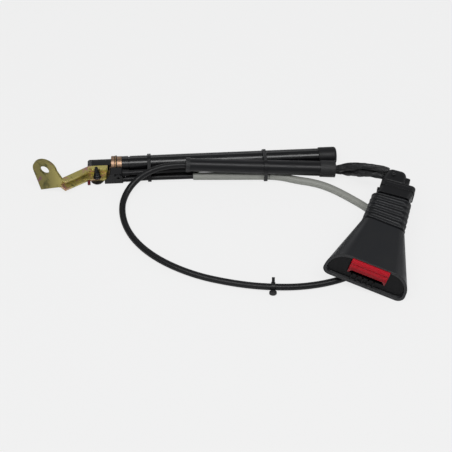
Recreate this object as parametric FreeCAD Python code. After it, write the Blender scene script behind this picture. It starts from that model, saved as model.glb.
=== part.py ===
"""Seat belt buckle pretensioner: a piston tube with its gas generator and anchor bracket pulls a wire
rope, which runs through a sheath and a guide elbow into the rubber boot of the buckle.

Layout frame: x runs along the piston tube from the left end of its neck, y is measured from the tube's
axis (the buckle lies at -y) and z is measured up from the bench. on_bench() moves a shape from there to
the part's own frame, whose origin is the middle of the base of the unit as it lies."""
import FreeCAD, Part
import math
import os

V = FreeCAD.Vector

# Place of the layout frame in the part's frame
TUBE_LEFT_X = -99.2
TUBE_AXIS_Y = 79.0

# General clearances and sheet
SEAT_GAP = 0.15
RUNNING_GAP = 0.05
SLIDE_GAP = 0.3
SHEET = 2.5

# Cable ties
TIE_THICKNESS = 1.2
TIE_WIDTH = 3.6
TIE_GAP = 0.1
TIE_HEAD = 5.4
TIE_LEFT_X = 30.8
TIE_RIGHT_X = 139.4

# Piston tube, cap and manifold
TUBE_RADIUS = 7.6
TUBE_BORE_RADIUS = 6.1
TUBE_START_X = 7.0
TUBE_END_X = 205.6
CAP_WALL = 0.9
CAP_LENGTH = 17.0
CAP_END_WALL = 4.0
TUBE_AXIS_Z = TUBE_RADIUS + TIE_GAP + TIE_THICKNESS
SPIGOT_LENGTH = 12.0
CRIMP_WIDTH = 1.6
CRIMP_DEPTH = 0.7
NECK_RING_END_X = 0.4
NECK_RING_HEIGHT = 0.5
CRIMP_RING_WIDTH = 2.0
CRIMP_RING_HEIGHT = 0.9

# Wire rope and its sheath
ROPE_RADIUS = 1.8
ROPE_CHANNEL_RADIUS = 2.1
ROPE_RETURN_Y = -11.5
ROPE_TURN_X = 4.2
SHEATH_RADIUS = 2.6
SHEATH_BORE_RADIUS = 2.0
LOBE_WALL = 1.2

# Piston and what rides on it
PISTON_START_X = 24.0
PISTON_LENGTH = 22.0
PISTON_RADIUS = 5.7
PISTON_CONE_RADIUS = 3.0
SEAL_WIDTH = 2.4
SEAL_RADIUS = 5.8
SEAL_SEAT_RADIUS = 4.6
BALL_RADIUS = 1.1
BALL_COUNT = 6
FERRULE_RADIUS = 3.2
FERRULE_LENGTH = 9.0

# Gas generator, igniter plug and lead
GENERATOR_RADIUS = 3.8
GENERATOR_START_X = -18.2
GENERATOR_END_X = -9.4
GENERATOR_Y = 0.3
GENERATOR_Z = 8.0
NOZZLE_RADIUS = 3.0
NOZZLE_LENGTH = 2.4
DUCT_RADIUS = 1.1
PLUG_LENGTH = 3.4
PLUG_RADIUS = 3.1
FEED_RADIUS = 2.6
SWITCH_RADIUS = 2.5
WIRE_RADIUS = 0.8
FEED_CORE_RADIUS = 1.0

# Covers over the manifold
COVER_LEFT_X = -25.5
COVER_RIGHT_X = -3.0
COVER_WALL = 1.5
COVER_BACK_RADIUS = 6.8
COVER_BACK_Y = 6.0
COVER_BASE_Z = 0.6
COVER_TOP_Z = 14.4
COVER_END_LEAN = 5.0
GUIDE_HOUSING_RIGHT_X = 7.6
GUIDE_HOUSING_FRONT_Y = -16.6
GUIDE_HOUSING_TOP_Z = 13.6
GUIDE_HOUSING_WALL = 1.2
BOSS_RADIUS = 3.9
BOSS_HEIGHT = 1.6
BOSS_HOLE_RADIUS = 1.3

# Anchor bracket
WEB_FRONT_Y = -8.0
BRACKET_Z = 3.0
WEB_TOP_Z = 14.2
WEB_RIGHT_X = -6.2
FLANGE_FRONT_Y = -14.8
TOP_LIP_DEPTH = 1.6
FOLD_BOTTOM_X = -27.5
FOLD_TILT = 21.5
ARM_TURN = 37.0
ARM_LENGTH = 30.0
ARM_LOW = -3.5
ARM_HIGH = 7.0
ARM_ROOT_LOW = 0.0
ARM_ROOT_HIGH = 12.0
ARM_FLANGE = 7.0
ARM_LIP = 4.0
EAR_TURN = 58.0
EAR_LEAN = 35.3
EAR_HOLE_ALONG = 18.0
EAR_HOLE_UP = 8.0
EAR_RADIUS = 11.5
EAR_FOOT = 22.5
ANCHOR_BORE_RADIUS = 4.5

# Push-in clip on the bracket
CLIP_X = -16.4
CLIP_Y = -12.2
CLIP_HEAD_RADIUS = 6.4
CLIP_SHANK_RADIUS = 1.5
CLIP_FIN_RADIUS = 3.6
CLIP_HEIGHT = 19.5
CLIP_FINS = 5

# Protective sleeve over the leads
SLEEVE_LEFT = (67.0, -13.4, 18.9)
SLEEVE_RIGHT = (206.0, -20.25, 12.2)
SLEEVE_LEFT_RADIUS = 6.1
SLEEVE_RIGHT_RADIUS = 7.2
SLEEVE_BORE_RADIUS = 3.1
SLEEVE_POCKET = 14.0
END_RING_LENGTH = 4.0
END_RING_GROWTH = 0.7
END_TAPE_LENGTH = 14.0
END_TAPE_GROWTH = 0.8

# Conduit and loop lead
CONDUIT_RADIUS = 3.6
CONDUIT_BORE_RADIUS = 2.75
LEAD_RADIUS = 3.0
CONDUIT_SOCKET = 10.0
CONDUIT_JOINT_LENGTH = 12.0
CONDUIT_JOINT_GROWTH = 0.8

# Buckle boot: place of the middle of its mouth, turns in degrees, sizes
MOUTH_X = 217.4
MOUTH_Y = -153.2
BUCKLE_YAW = 22.5
BUCKLE_PITCH = 5.0
BUCKLE_ROLL = 12.0
GUIDE_TWIST = 11.0
MOUTH_WIDTH = 73.0
MOUTH_LOW = 15.5
MOUTH_HIGH = 12.4
MOUTH_CORNER = 7.5
MOUTH_SHOULDER_X = 20.0
MOUTH_SHOULDER_Z = -4.5
NECK_WIDTH = 39.4
NECK_LOW = 11.5
NECK_HIGH = 8.5
NECK_CORNER = 7.0
FLARE_LENGTH = 50.0
BOOT_WALL = 2.4
BUTTON_ROOF = 1.0
END_SLANT = 15.0
BELLOWS_LENGTH = 34.0
BELLOWS_TOP_WIDTH = 36.0
BELLOWS_TOP_LOW = 10.0
BELLOWS_TOP_HIGH = 7.6
BELLOWS_RIBS = 6
BELLOWS_GROOVE = 1.6
BELLOWS_WALL = 1.3

# Mouth bezel, button and slot
BEZEL_INSET = 2.2
BEZEL_THICKNESS = 4.0
BUTTON_HALF_WIDTH = 17.0
BUTTON_TOP = 10.5
BUTTON_BOTTOM = -1.0
BUTTON_DEPTH = 8.0
BUTTON_LEG = 2.4
BUTTON_LEG_BOTTOM = -5.4
BUTTON_TRAVEL = 5.0
SLOT_BOTTOM = -7.4
FIN_COUNT = 5
FIN_PITCH = 5.1
FIN_MIDDLE_X = -2.0
FIN_WIDTH = 1.3
FIN_HEIGHT = 4.6
FIN_DEPTH = 1.6

# Buckle frame and mechanism
FRAME_HALF_WIDTH = 16.5
FRAME_SHEET = 2.0
FRAME_FLOOR = -6.2
FRAME_START = 9.0
FRAME_WALL_START = 15.0
FRAME_END = 44.0
FRAME_WALL_TOP = 4.0
LATCH_PIN_Y = 37.0
LATCH_PIN_Z = 2.0
LATCH_PIN_RADIUS = 1.5
LATCH_HALF_WIDTH = 6.0
LATCH_FRONT = 22.0
LATCH_THICKNESS = 2.5
LATCH_NOSE = 3.0
LATCH_NOSE_BOTTOM = -5.4
LATCH_BAR = 2.2
LATCH_BAR_GAP = 4.8
LATCH_POST_TOP = 6.2
EJECTOR_FRONT = 12.5
EJECTOR_LENGTH = 20.0
EJECTOR_INNER = 7.0
EJECTOR_OUTER = 13.8
EJECTOR_BOTTOM = -5.8
EJECTOR_TOP = -3.1
EJECTOR_BRIDGE = 3.0
BUTTON_ARM_INNER = 8.6
BUTTON_ARM_WIDTH = 3.0
BUTTON_ARM_END = 27.0
BUTTON_ARM_LOW = 4.4
BUTTON_ARM_HIGH = 6.6
SPRING_WIRE = 0.4
SPRING_TURNS = 5
BUTTON_SPRING_X = 12.3
BUTTON_SPRING_Z = 1.0
BUTTON_SPRING_RADIUS = 1.6
SPRING_SEAT_Y = 24.0
SPRING_SEAT_INNER = 10.0
EJECTOR_SPRING_X = 10.2
EJECTOR_SPRING_Z = -4.5
EJECTOR_SPRING_RADIUS = 1.15
TRAY_HALF_WIDTH = 13.0
FITTING_RADIUS = 3.8
FITTING_START = 40.4
FITTING_LENGTH = 8.0
FITTING_Z = -1.6

# Guide elbow that turns the rope into the boot
GUIDE_Z = -1.2
GUIDE_NECK_WIDTH = 24.0
GUIDE_NECK_DEPTH = 12.0
GUIDE_NECK_LENGTH = 3.0
COLLAR_WIDTH = 29.0
COLLAR_DEPTH = 16.4
COLLAR_MIDDLE_X = 0.8
COLLAR_LENGTH = 8.0
COLLAR_FLANGE_WIDTH = 31.2
COLLAR_FLANGE_DEPTH = 18.4
COLLAR_FLANGE_MIDDLE_X = 2.1
COLLAR_FLANGE = 3.6
ELBOW_FLANGE = 2.8
ELBOW_LEFT = 14.0
ELBOW_RIGHT = 7.6
ELBOW_FRONT = 7.4
ELBOW_BACK = -10.6
ELBOW_HEIGHT = 21.4
ELBOW_TAB = 3.0
ELBOW_TURN_RADIUS = 10.5
ELBOW_TURN_LEAN = 8.0
SHEATH_SEAT = 3.0
SWITCH_SEAT_Y = 12.6
SWITCH_SEAT_Z = 3.7
WIRE_SEAT_Y = 16.2
WIRE_SEAT_Z = -0.6
GUIDE_CORNER = 4.0


def on_bench(shape):
    """Moves a shape from the layout frame to the part's frame."""
    return shape.translated(V(TUBE_LEFT_X, TUBE_AXIS_Y, 0))


def write(name, *solids):
    """Writes one sub-part, given in the part's frame, to its own STEP file."""
    shape = solids[0] if len(solids) == 1 else Part.makeCompound(list(solids))
    shape.exportStep(f"parts/{name}.step")


def box(x0, x1, y0, y1, z0, z1):
    """A box from its limits along each axis."""
    return Part.makeBox(x1 - x0, y1 - y0, z1 - z0, V(x0, y0, z0))


def rod(radius, start, end):
    """A cylinder between two points."""
    start = V(*start)
    run = V(*end) - start
    return Part.makeCylinder(radius, run.Length, start, run)


def cone_between(r0, r1, start, end):
    """A cone, or a cylinder where both radii agree, between two points."""
    start = V(*start)
    run = V(*end) - start
    if abs(r0 - r1) < 1e-6:
        return Part.makeCylinder(r0, run.Length, start, run)
    return Part.makeCone(r0, r1, run.Length, start, run)


def prism(points, direction):
    """A prism over a closed outline of straight edges."""
    wire = Part.makePolygon([V(*p) for p in points] + [V(*points[0])])
    return Part.Face(wire).extrude(V(*direction))


def turned(profile, start, axis_end):
    """A turned piece: profile holds (distance along the axis, radius) pairs, from axis to axis."""
    start = V(*start)
    axis = (V(*axis_end) - start).normalize()
    side = axis.cross(V(0, 0, 1))
    if side.Length < 0.1:
        side = axis.cross(V(1, 0, 0))
    side.normalize()
    points = [start + axis * a + side * r for a, r in profile]
    face = Part.Face(Part.makePolygon(points + [points[0]]))
    return face.revolve(start, axis, 360)


def rounded_outline(width, depth, radius, y, x0=0.0, z0=0.0):
    """A rounded rectangle in the plane of x and z, at the given y."""
    a, b = width / 2, depth / 2
    r = min(radius, a * 0.98, b * 0.98)
    k = r * (1 - math.sqrt(0.5))

    def p(x, z):
        return V(x0 + x, y, z0 + z)

    edges = [
        Part.LineSegment(p(-a + r, -b), p(a - r, -b)),
        Part.Arc(p(a - r, -b), p(a - k, -b + k), p(a, -b + r)),
        Part.LineSegment(p(a, -b + r), p(a, b - r)),
        Part.Arc(p(a, b - r), p(a - k, b - k), p(a - r, b)),
        Part.LineSegment(p(a - r, b), p(-a + r, b)),
        Part.Arc(p(-a + r, b), p(-a + k, b - k), p(-a, b - r)),
        Part.LineSegment(p(-a, b - r), p(-a, -b + r)),
        Part.Arc(p(-a, -b + r), p(-a + k, -b + k), p(-a + r, -b)),
    ]
    return Part.Wire([e.toShape() for e in edges])


def crowned_outline(half, low, high, corner, shoulder_x, shoulder_z, y):
    """A boot section in the plane of x and z: flat base, rounded lower corners and a crowned upper side."""
    k = corner * (1 - math.sqrt(0.5))
    bulge = 0.29

    def p(x, z):
        return V(x, y, z)

    def shoulder(side):
        across = half - shoulder_x
        rise = high - shoulder_z
        return p(side * (half - bulge * across), high - bulge * rise)

    edges = [
        Part.LineSegment(p(-half + corner, -low), p(half - corner, -low)),
        Part.Arc(p(half - corner, -low), p(half - k, -low + k), p(half, -low + corner)),
        Part.LineSegment(p(half, -low + corner), p(half, shoulder_z)),
        Part.Arc(p(half, shoulder_z), shoulder(1), p(shoulder_x, high)),
        Part.LineSegment(p(shoulder_x, high), p(-shoulder_x, high)),
        Part.Arc(p(-shoulder_x, high), shoulder(-1), p(-half, shoulder_z)),
        Part.LineSegment(p(-half, shoulder_z), p(-half, -low + corner)),
        Part.Arc(p(-half, -low + corner), p(-half + k, -low + k), p(-half + corner, -low)),
    ]
    return Part.Wire([e.toShape() for e in edges])


def rounded_block(width, depth, radius, y0, y1, x0=0.0, z0=0.0):
    """A rounded rectangle extruded along y."""
    outline = rounded_outline(width, depth, radius, y0, x0, z0)
    return Part.Face(outline).extrude(V(0, y1 - y0, 0))


def route_wire(points, name):
    """Straight runs joined by tangent arcs; prints the radius of each arc."""
    pts = [V(*p) for p in points]
    edges = []
    radii = []
    last = pts[0]
    for before, here, after in zip(pts, pts[1:], pts[2:]):
        back = (before - here).normalize()
        ahead = (after - here).normalize()
        half_turn = (math.pi - back.getAngle(ahead)) / 2
        trim = 0.45 * min((before - here).Length, (after - here).Length)
        radius = trim / math.tan(half_turn)
        bisector = (back + ahead).normalize()
        middle = here + bisector * (radius / math.cos(half_turn) - radius)
        first = here + back * trim
        second = here + ahead * trim
        edges.append(Part.LineSegment(last, first).toShape())
        edges.append(Part.Arc(first, middle, second).toShape())
        last = second
        radii.append(round(radius, 1))
    edges.append(Part.LineSegment(last, pts[-1]).toShape())
    print(name, "radii", radii)
    return Part.Wire(edges)


def tube_on(wire, radius):
    """A round rod swept along a wire."""
    edge = wire.Edges[0]
    start = edge.valueAt(edge.FirstParameter)
    circle = Part.Circle(start, edge.tangentAt(edge.FirstParameter), radius)
    return wire.makePipeShell([Part.Wire(circle.toShape())], True, False)


def band(circles, x, width, gap, thickness):
    """A closed band round circles (y, z, radius), given anticlockwise seen from +x."""

    def outline(growth):
        edges = []
        count = len(circles)
        tangents = []
        for i in range(count):
            y0, z0, r0 = circles[i]
            y1, z1, r1 = circles[(i + 1) % count]
            dy, dz = y1 - y0, z1 - z0
            length = math.hypot(dy, dz)
            lean = math.atan2(dz, dy) - math.pi / 2 + math.asin((r0 - r1) / length)
            tangents.append(lean)
        for i in range(count):
            y0, z0, r0 = circles[i]
            y1, z1, r1 = circles[(i + 1) % count]
            start, end = tangents[i - 1], tangents[i]
            while end < start:
                end += 2 * math.pi
            r = r0 + growth
            arc = [V(x, y0 + r * math.cos(a), z0 + r * math.sin(a)) for a in (start, (start + end) / 2, end)]
            edges.append(Part.Arc(*arc).toShape())
            r = r1 + growth
            far = V(x, y1 + r * math.cos(tangents[i]), z1 + r * math.sin(tangents[i]))
            edges.append(Part.LineSegment(arc[2], far).toShape())
        return Part.Wire(edges)

    outer = Part.Face(outline(gap + thickness)).extrude(V(width, 0, 0))
    inner = Part.Face(outline(gap)).extrude(V(width, 0, 0))
    return outer.cut(inner)


def coil_spring(radius, wire, length, turns):
    """A compression spring along +z from the origin, with open ends."""
    helix = Part.makeHelix(length / turns, length, radius)
    start = V(radius, 0, 0)
    circle = Part.Circle(start, V(0, 1, 0), wire)
    return Part.Wire(helix.Edges).makePipeShell([Part.Wire(circle.toShape())], True, False)


# Bracket: every plate is given by its middle surface, so that two plates meet on their fold line
def plate(points):
    """A sheet over a flat outline, with the outline in the middle of its thickness."""
    wire = Part.makePolygon(points + [points[0]])
    face = Part.Face(wire)
    normal = face.normalAt(0, 0)
    return face.translated(normal * (-SHEET / 2)).extrude(normal * SHEET)


def fold(start, end):
    """The round outside of a fold between two plates."""
    return Part.makeCylinder(SHEET / 2, (end - start).Length, start, end - start)


def bracket_axes():
    """The fold line, the arm's direction and the ear's direction and normal."""
    tilt = math.radians(FOLD_TILT)
    turn = math.radians(ARM_TURN)
    back = math.radians(EAR_TURN)
    along_fold = V(math.sin(tilt), 0, math.cos(tilt))
    level = V(-math.cos(tilt), 0, math.sin(tilt))
    arm = level * math.cos(turn) + V(0, -1, 0) * math.sin(turn)
    arm_normal = along_fold.cross(arm)
    ear = arm * math.cos(back) - arm_normal * math.sin(back)
    ear_normal = ear.cross(along_fold)
    return along_fold, arm, arm_normal, ear, ear_normal


def ear_frame():
    """The middle of the anchor bore, the ear's width and height directions, and its normal."""
    along_fold, arm, _, ear, normal = bracket_axes()
    root = V(FOLD_BOTTOM_X, WEB_FRONT_Y + SHEET / 2, BRACKET_Z)
    centre = root + arm * ARM_LENGTH + ear * EAR_HOLE_ALONG + along_fold * EAR_HOLE_UP
    lean = math.radians(EAR_LEAN)
    up = along_fold * math.cos(lean) + ear * math.sin(lean)
    across = up.cross(normal)
    return centre, across, up, normal


def anchor_bracket():
    along_fold, arm, arm_normal, ear, _ = bracket_axes()
    middle_y = WEB_FRONT_Y + SHEET / 2
    root = V(FOLD_BOTTOM_X, middle_y, BRACKET_Z)
    top = root + along_fold * ((WEB_TOP_Z - BRACKET_Z) / along_fold.z)
    web = plate([
        V(root.x, middle_y, BRACKET_Z),
        V(WEB_RIGHT_X, middle_y, BRACKET_Z),
        V(WEB_RIGHT_X, middle_y, WEB_TOP_Z),
        V(top.x, middle_y, WEB_TOP_Z),
    ])
    foot_z = BRACKET_Z + SHEET / 2
    flange = plate([
        V(FOLD_BOTTOM_X, middle_y, foot_z),
        V(WEB_RIGHT_X, middle_y, foot_z),
        V(WEB_RIGHT_X, FLANGE_FRONT_Y, foot_z),
        V(FOLD_BOTTOM_X - 3, FLANGE_FRONT_Y, foot_z),
    ])
    lip_z = WEB_TOP_Z - SHEET / 2
    lip = plate([
        V(top.x, middle_y, lip_z),
        V(WEB_RIGHT_X, middle_y, lip_z),
        V(WEB_RIGHT_X, WEB_FRONT_Y - TOP_LIP_DEPTH, lip_z),
        V(top.x + 2, WEB_FRONT_Y - TOP_LIP_DEPTH, lip_z),
    ])

    def on_arm(s, h):
        return root + arm * s + along_fold * h

    arm_web = plate([
        on_arm(0, ARM_ROOT_LOW), on_arm(ARM_LENGTH, ARM_LOW),
        on_arm(ARM_LENGTH, ARM_HIGH), on_arm(0, ARM_ROOT_HIGH),
    ])
    inset = SHEET / 2
    out = arm_normal * -1 if arm_normal.y > 0 else arm_normal

    def low_edge(s):
        return on_arm(s, ARM_ROOT_LOW + (ARM_LOW - ARM_ROOT_LOW) * s / ARM_LENGTH + inset)

    def high_edge(s):
        return on_arm(s, ARM_ROOT_HIGH + (ARM_HIGH - ARM_ROOT_HIGH) * s / ARM_LENGTH - inset)

    arm_flange = plate([
        low_edge(-1), low_edge(ARM_LENGTH), low_edge(ARM_LENGTH - 2) + out * ARM_FLANGE,
        low_edge(3) + out * ARM_FLANGE,
    ])
    arm_lip = plate([
        high_edge(0), high_edge(ARM_LENGTH), high_edge(ARM_LENGTH - 2) + out * ARM_LIP,
        high_edge(2) + out * ARM_LIP,
    ])
    centre, across, up, normal = ear_frame()
    bend_low = on_arm(ARM_LENGTH, ARM_LOW)
    bend_high = on_arm(ARM_LENGTH, ARM_HIGH)
    ear_disc = Part.makeCylinder(EAR_RADIUS, SHEET, centre - normal * (SHEET / 2), normal)
    ear_plate = plate([
        centre + across * EAR_RADIUS,
        centre + across * EAR_RADIUS - up * EAR_FOOT,
        bend_low,
        bend_high,
        centre - across * EAR_RADIUS - up * 2,
        centre - across * EAR_RADIUS,
    ])
    body = web.multiFuse([
        flange, lip, arm_web, arm_flange, arm_lip, ear_disc, ear_plate,
        fold(root, top), fold(bend_low, bend_high),
        fold(V(FOLD_BOTTOM_X, middle_y, foot_z), V(WEB_RIGHT_X, middle_y, foot_z)),
    ])
    bore = Part.makeCylinder(ANCHOR_BORE_RADIUS, 4 * SHEET, centre - normal * (2 * SHEET), normal)
    clip_hole = rod(CLIP_SHANK_RADIUS + SEAT_GAP, (CLIP_X, CLIP_Y, 0),
                    (CLIP_X, CLIP_Y, BRACKET_Z + 2 * SHEET))
    return body.cut(bore).cut(clip_hole).removeSplitter()


def fir_tree_clip():
    """Domed head under the flange, shank and fins standing up through it."""
    axis = (CLIP_X, CLIP_Y, 0)
    top = (CLIP_X, CLIP_Y, CLIP_HEIGHT)
    head = BRACKET_Z - 0.1
    profile = [
        (0, 0), (0, CLIP_HEAD_RADIUS * 0.55), (head * 0.5, CLIP_HEAD_RADIUS * 0.9),
        (head * 0.8, CLIP_HEAD_RADIUS), (head, CLIP_HEAD_RADIUS), (head, CLIP_SHANK_RADIUS),
    ]
    first = BRACKET_Z + SHEET + 0.4
    pitch = (CLIP_HEIGHT - first) / (CLIP_FINS + 0.6)
    for i in range(CLIP_FINS):
        start = first + i * pitch
        reach = CLIP_FIN_RADIUS * (1 - 0.13 * i)
        profile += [(start, CLIP_SHANK_RADIUS), (start + 0.25, reach),
                    (start + pitch * 0.55, CLIP_SHANK_RADIUS)]
    profile += [(CLIP_HEIGHT - 1.2, CLIP_SHANK_RADIUS), (CLIP_HEIGHT, 0.5), (CLIP_HEIGHT, 0)]
    return turned(profile, axis, top)


def clip_lock_tab():
    """Hooked tab that locks the lead's clip under the bracket's corner."""
    x0, x1 = CLIP_X - 9.2, CLIP_X - CLIP_HEAD_RADIUS - 0.3
    y0 = FLANGE_FRONT_Y - 0.15
    outline = [
        (x0, y0 + 1.5, BRACKET_Z - 0.15), (x0, y0, BRACKET_Z - 0.15), (x0, y0, BRACKET_Z + 1.6),
        (x0, y0 - 1.8, BRACKET_Z + 1.2), (x0, y0 - 3.0, 1.6), (x0, y0 - 2.2, 0.2), (x0, y0 + 1.5, 0.2),
    ]
    return prism(outline, (x1 - x0, 0, 0))


# Manifold, covers and gas generator
def cover_profile(inset, x):
    """The cross-section of the cover: flat front and top, round back."""
    front = WEB_FRONT_Y + SHEET + 0.2 + inset
    top = COVER_TOP_Z - inset
    back = COVER_BACK_Y - inset
    radius = COVER_BACK_RADIUS - inset
    k = radius * (1 - math.sqrt(0.5))
    low = COVER_BASE_Z
    edges = [
        Part.LineSegment(V(x, front, low), V(x, front, top)),
        Part.LineSegment(V(x, front, top), V(x, back - radius, top)),
        Part.Arc(V(x, back - radius, top), V(x, back - k, top - k), V(x, back, top - radius)),
        Part.LineSegment(V(x, back, top - radius), V(x, back, low)),
        Part.LineSegment(V(x, back, low), V(x, front, low)),
    ]
    return Part.Face(Part.Wire([e.toShape() for e in edges]))


def end_cut(inset):
    """The space left of the cover's leaning left end."""
    lean = COVER_END_LEAN
    return prism([
        (COVER_LEFT_X - 20, -30, COVER_BASE_Z - 5), (COVER_LEFT_X + inset, -30, COVER_BASE_Z - 5),
        (COVER_LEFT_X + inset, -30, TUBE_AXIS_Z), (COVER_LEFT_X + inset + lean, -30, COVER_TOP_Z + 0.5),
        (COVER_LEFT_X - 20, -30, COVER_TOP_Z + 0.5),
    ], (0, 60, 0))


def housing_cover():
    outer = cover_profile(0, COVER_LEFT_X).extrude(V(COVER_RIGHT_X - COVER_LEFT_X, 0, 0)).cut(end_cut(0))
    inner = cover_profile(COVER_WALL, COVER_LEFT_X).extrude(V(COVER_RIGHT_X - COVER_LEFT_X + 1, 0, 0))
    inner = inner.cut(end_cut(COVER_WALL))
    lead_window = box(-5.0, COVER_RIGHT_X + 1, WEB_FRONT_Y - 1, 0, COVER_BASE_Z - 1, 13.0)
    return outer.cut(inner).cut(lead_window)


def housing_base():
    """Floor of the housing, snapped in between the cover's walls."""
    front = WEB_FRONT_Y + SHEET + 0.2 + COVER_WALL + SEAT_GAP
    back = COVER_BACK_Y - COVER_WALL - SEAT_GAP
    left = COVER_LEFT_X + COVER_WALL + SEAT_GAP
    return box(left, COVER_RIGHT_X - 0.3, front, back, COVER_BASE_Z, COVER_BASE_Z + COVER_WALL)


def rope_turn_wire():
    """Middle line of the rope's half turn in the manifold, from the tube's axis to the sheath."""
    radius = -ROPE_RETURN_Y / 2
    z = TUBE_AXIS_Z
    inlet = V(TUBE_START_X + SPIGOT_LENGTH, 0, z)
    first = V(ROPE_TURN_X, 0, z)
    side = V(ROPE_TURN_X - radius, -radius, z)
    second = V(ROPE_TURN_X, ROPE_RETURN_Y, z)
    outlet = V(GUIDE_HOUSING_RIGHT_X, ROPE_RETURN_Y, z)
    return Part.Wire([
        Part.LineSegment(inlet, first).toShape(),
        Part.Arc(first, side, second).toShape(),
        Part.LineSegment(second, outlet).toShape(),
    ])


def lobe_limits():
    """Limits of the block round the rope's return."""
    reach = ROPE_CHANNEL_RADIUS + LOBE_WALL
    left = ROPE_TURN_X + ROPE_RETURN_Y / 2 - reach + 0.2
    return left, ROPE_RETURN_Y - reach, TUBE_AXIS_Z - reach, TUBE_AXIS_Z + reach - 0.2


def manifold_block():
    left, front, low, high = lobe_limits()
    x0 = GENERATOR_END_X
    body = cover_profile(COVER_WALL + SEAT_GAP, x0).extrude(V(COVER_RIGHT_X - x0 + 0.4, 0, 0))
    body = body.cut(box(x0 - 1, 1, -30, 30, -5, COVER_BASE_Z + COVER_WALL + SEAT_GAP))
    lobe = box(left, ROPE_TURN_X, front, 0, low, high)
    z = TUBE_AXIS_Z
    neck = rod(TUBE_RADIUS, (COVER_RIGHT_X + 0.2, 0, z), (TUBE_START_X, 0, z))
    ring = rod(TUBE_RADIUS + NECK_RING_HEIGHT, (COVER_RIGHT_X + 0.2, 0, z), (NECK_RING_END_X, 0, z))
    spigot = rod(TUBE_BORE_RADIUS - 0.05, (0, 0, z), (TUBE_START_X + SPIGOT_LENGTH, 0, z))
    body = body.multiFuse([lobe, neck, ring, spigot])
    channel = tube_on(rope_turn_wire(), ROPE_CHANNEL_RADIUS)
    socket = rod(NOZZLE_RADIUS + SEAT_GAP, (x0 - 1, GENERATOR_Y, GENERATOR_Z),
                 (x0 + NOZZLE_LENGTH + 0.4, GENERATOR_Y, GENERATOR_Z))
    duct_z = TUBE_AXIS_Z + ROPE_CHANNEL_RADIUS + 0.4 + DUCT_RADIUS
    duct = rod(DUCT_RADIUS, (x0, 0, duct_z), (TUBE_START_X + SPIGOT_LENGTH + 1, 0, duct_z))
    groove = box(x0 - 1, 1, -9, -1.2, 0, COVER_BASE_Z + COVER_WALL + 2 * FEED_CORE_RADIUS + 0.5)
    return body.cut(channel).cut(socket).cut(duct).cut(groove)


def guide_housing():
    """Shell in front of the tube's neck: holds the rope's return and the lead's exit."""
    left, front, low, high = lobe_limits()
    right = GUIDE_HOUSING_RIGHT_X
    top = GUIDE_HOUSING_TOP_Z
    base = COVER_BASE_Z
    y_back = WEB_FRONT_Y - 0.3
    shell = prism([
        (-9.6, GUIDE_HOUSING_FRONT_Y, base), (right, GUIDE_HOUSING_FRONT_Y, base),
        (right, GUIDE_HOUSING_FRONT_Y, top),
        (-3.6, GUIDE_HOUSING_FRONT_Y, top), (-9.6, GUIDE_HOUSING_FRONT_Y, base + 2.5),
    ], (0, y_back - GUIDE_HOUSING_FRONT_Y, 0))
    flange_space = box(-30, WEB_RIGHT_X + 0.3, FLANGE_FRONT_Y - 0.3, 0, BRACKET_Z - 0.3,
                       BRACKET_Z + SHEET + 0.3)
    long_edges = [e for e in shell.Edges if abs(e.Length - (y_back - GUIDE_HOUSING_FRONT_Y)) < 1e-3
                  and e.Vertexes[0].Z > base + 1]
    shell = shell.makeFillet(1.6, long_edges)
    lobe_space = box(left - SEAT_GAP, ROPE_TURN_X + SEAT_GAP, front - SEAT_GAP, 0, low - SEAT_GAP,
                     high + SEAT_GAP)
    lead_space = box(-4.4, right - GUIDE_HOUSING_WALL, FEED_POINTS[0][1] - FEED_CORE_RADIUS - 0.2, 0,
                     base + GUIDE_HOUSING_WALL, low - SEAT_GAP + 0.1)
    boss = rod(BOSS_RADIUS, (right - BOSS_RADIUS, GUIDE_HOUSING_FRONT_Y + 1, TUBE_AXIS_Z + 0.6),
               (right - BOSS_RADIUS, GUIDE_HOUSING_FRONT_Y - BOSS_HEIGHT, TUBE_AXIS_Z + 0.6))
    boss_hole = rod(BOSS_HOLE_RADIUS,
                    (right - BOSS_RADIUS, GUIDE_HOUSING_FRONT_Y - BOSS_HEIGHT - 1, TUBE_AXIS_Z + 0.6),
                    (right - BOSS_RADIUS, GUIDE_HOUSING_FRONT_Y + 0.6, TUBE_AXIS_Z + 0.6))
    rope_hole = rod(ROPE_CHANNEL_RADIUS, (ROPE_TURN_X, ROPE_RETURN_Y, TUBE_AXIS_Z),
                    (right + 1, ROPE_RETURN_Y, TUBE_AXIS_Z))
    lead_hole = rod(FEED_CORE_RADIUS + 0.1, (0, FEED_POINTS[0][1], FEED_POINTS[0][2]),
                    (right + 1, FEED_POINTS[0][1], FEED_POINTS[0][2]))
    shell = shell.fuse(boss).cut(lobe_space).cut(lead_space).cut(boss_hole).cut(rope_hole).cut(lead_hole)
    return shell.cut(flange_space)


def gas_generator():
    """Crimped steel can with its igniter shoulder on the left and nozzle on the right."""
    length = GENERATOR_END_X - GENERATOR_START_X
    r = GENERATOR_RADIUS
    profile = [
        (0, 0), (0, r * 0.7), (1.4, r * 0.7), (2.0, r * 0.86), (2.8, r * 0.8), (3.4, r),
        (length - 1.2, r), (length, r * 0.88), (length, NOZZLE_RADIUS),
        (length + NOZZLE_LENGTH - 0.4, NOZZLE_RADIUS),
        (length + NOZZLE_LENGTH, NOZZLE_RADIUS - 0.4), (length + NOZZLE_LENGTH, 0),
    ]
    start = (GENERATOR_START_X, GENERATOR_Y, GENERATOR_Z)
    end = (GENERATOR_END_X, GENERATOR_Y, GENERATOR_Z)
    return turned(profile, start, end)


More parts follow.
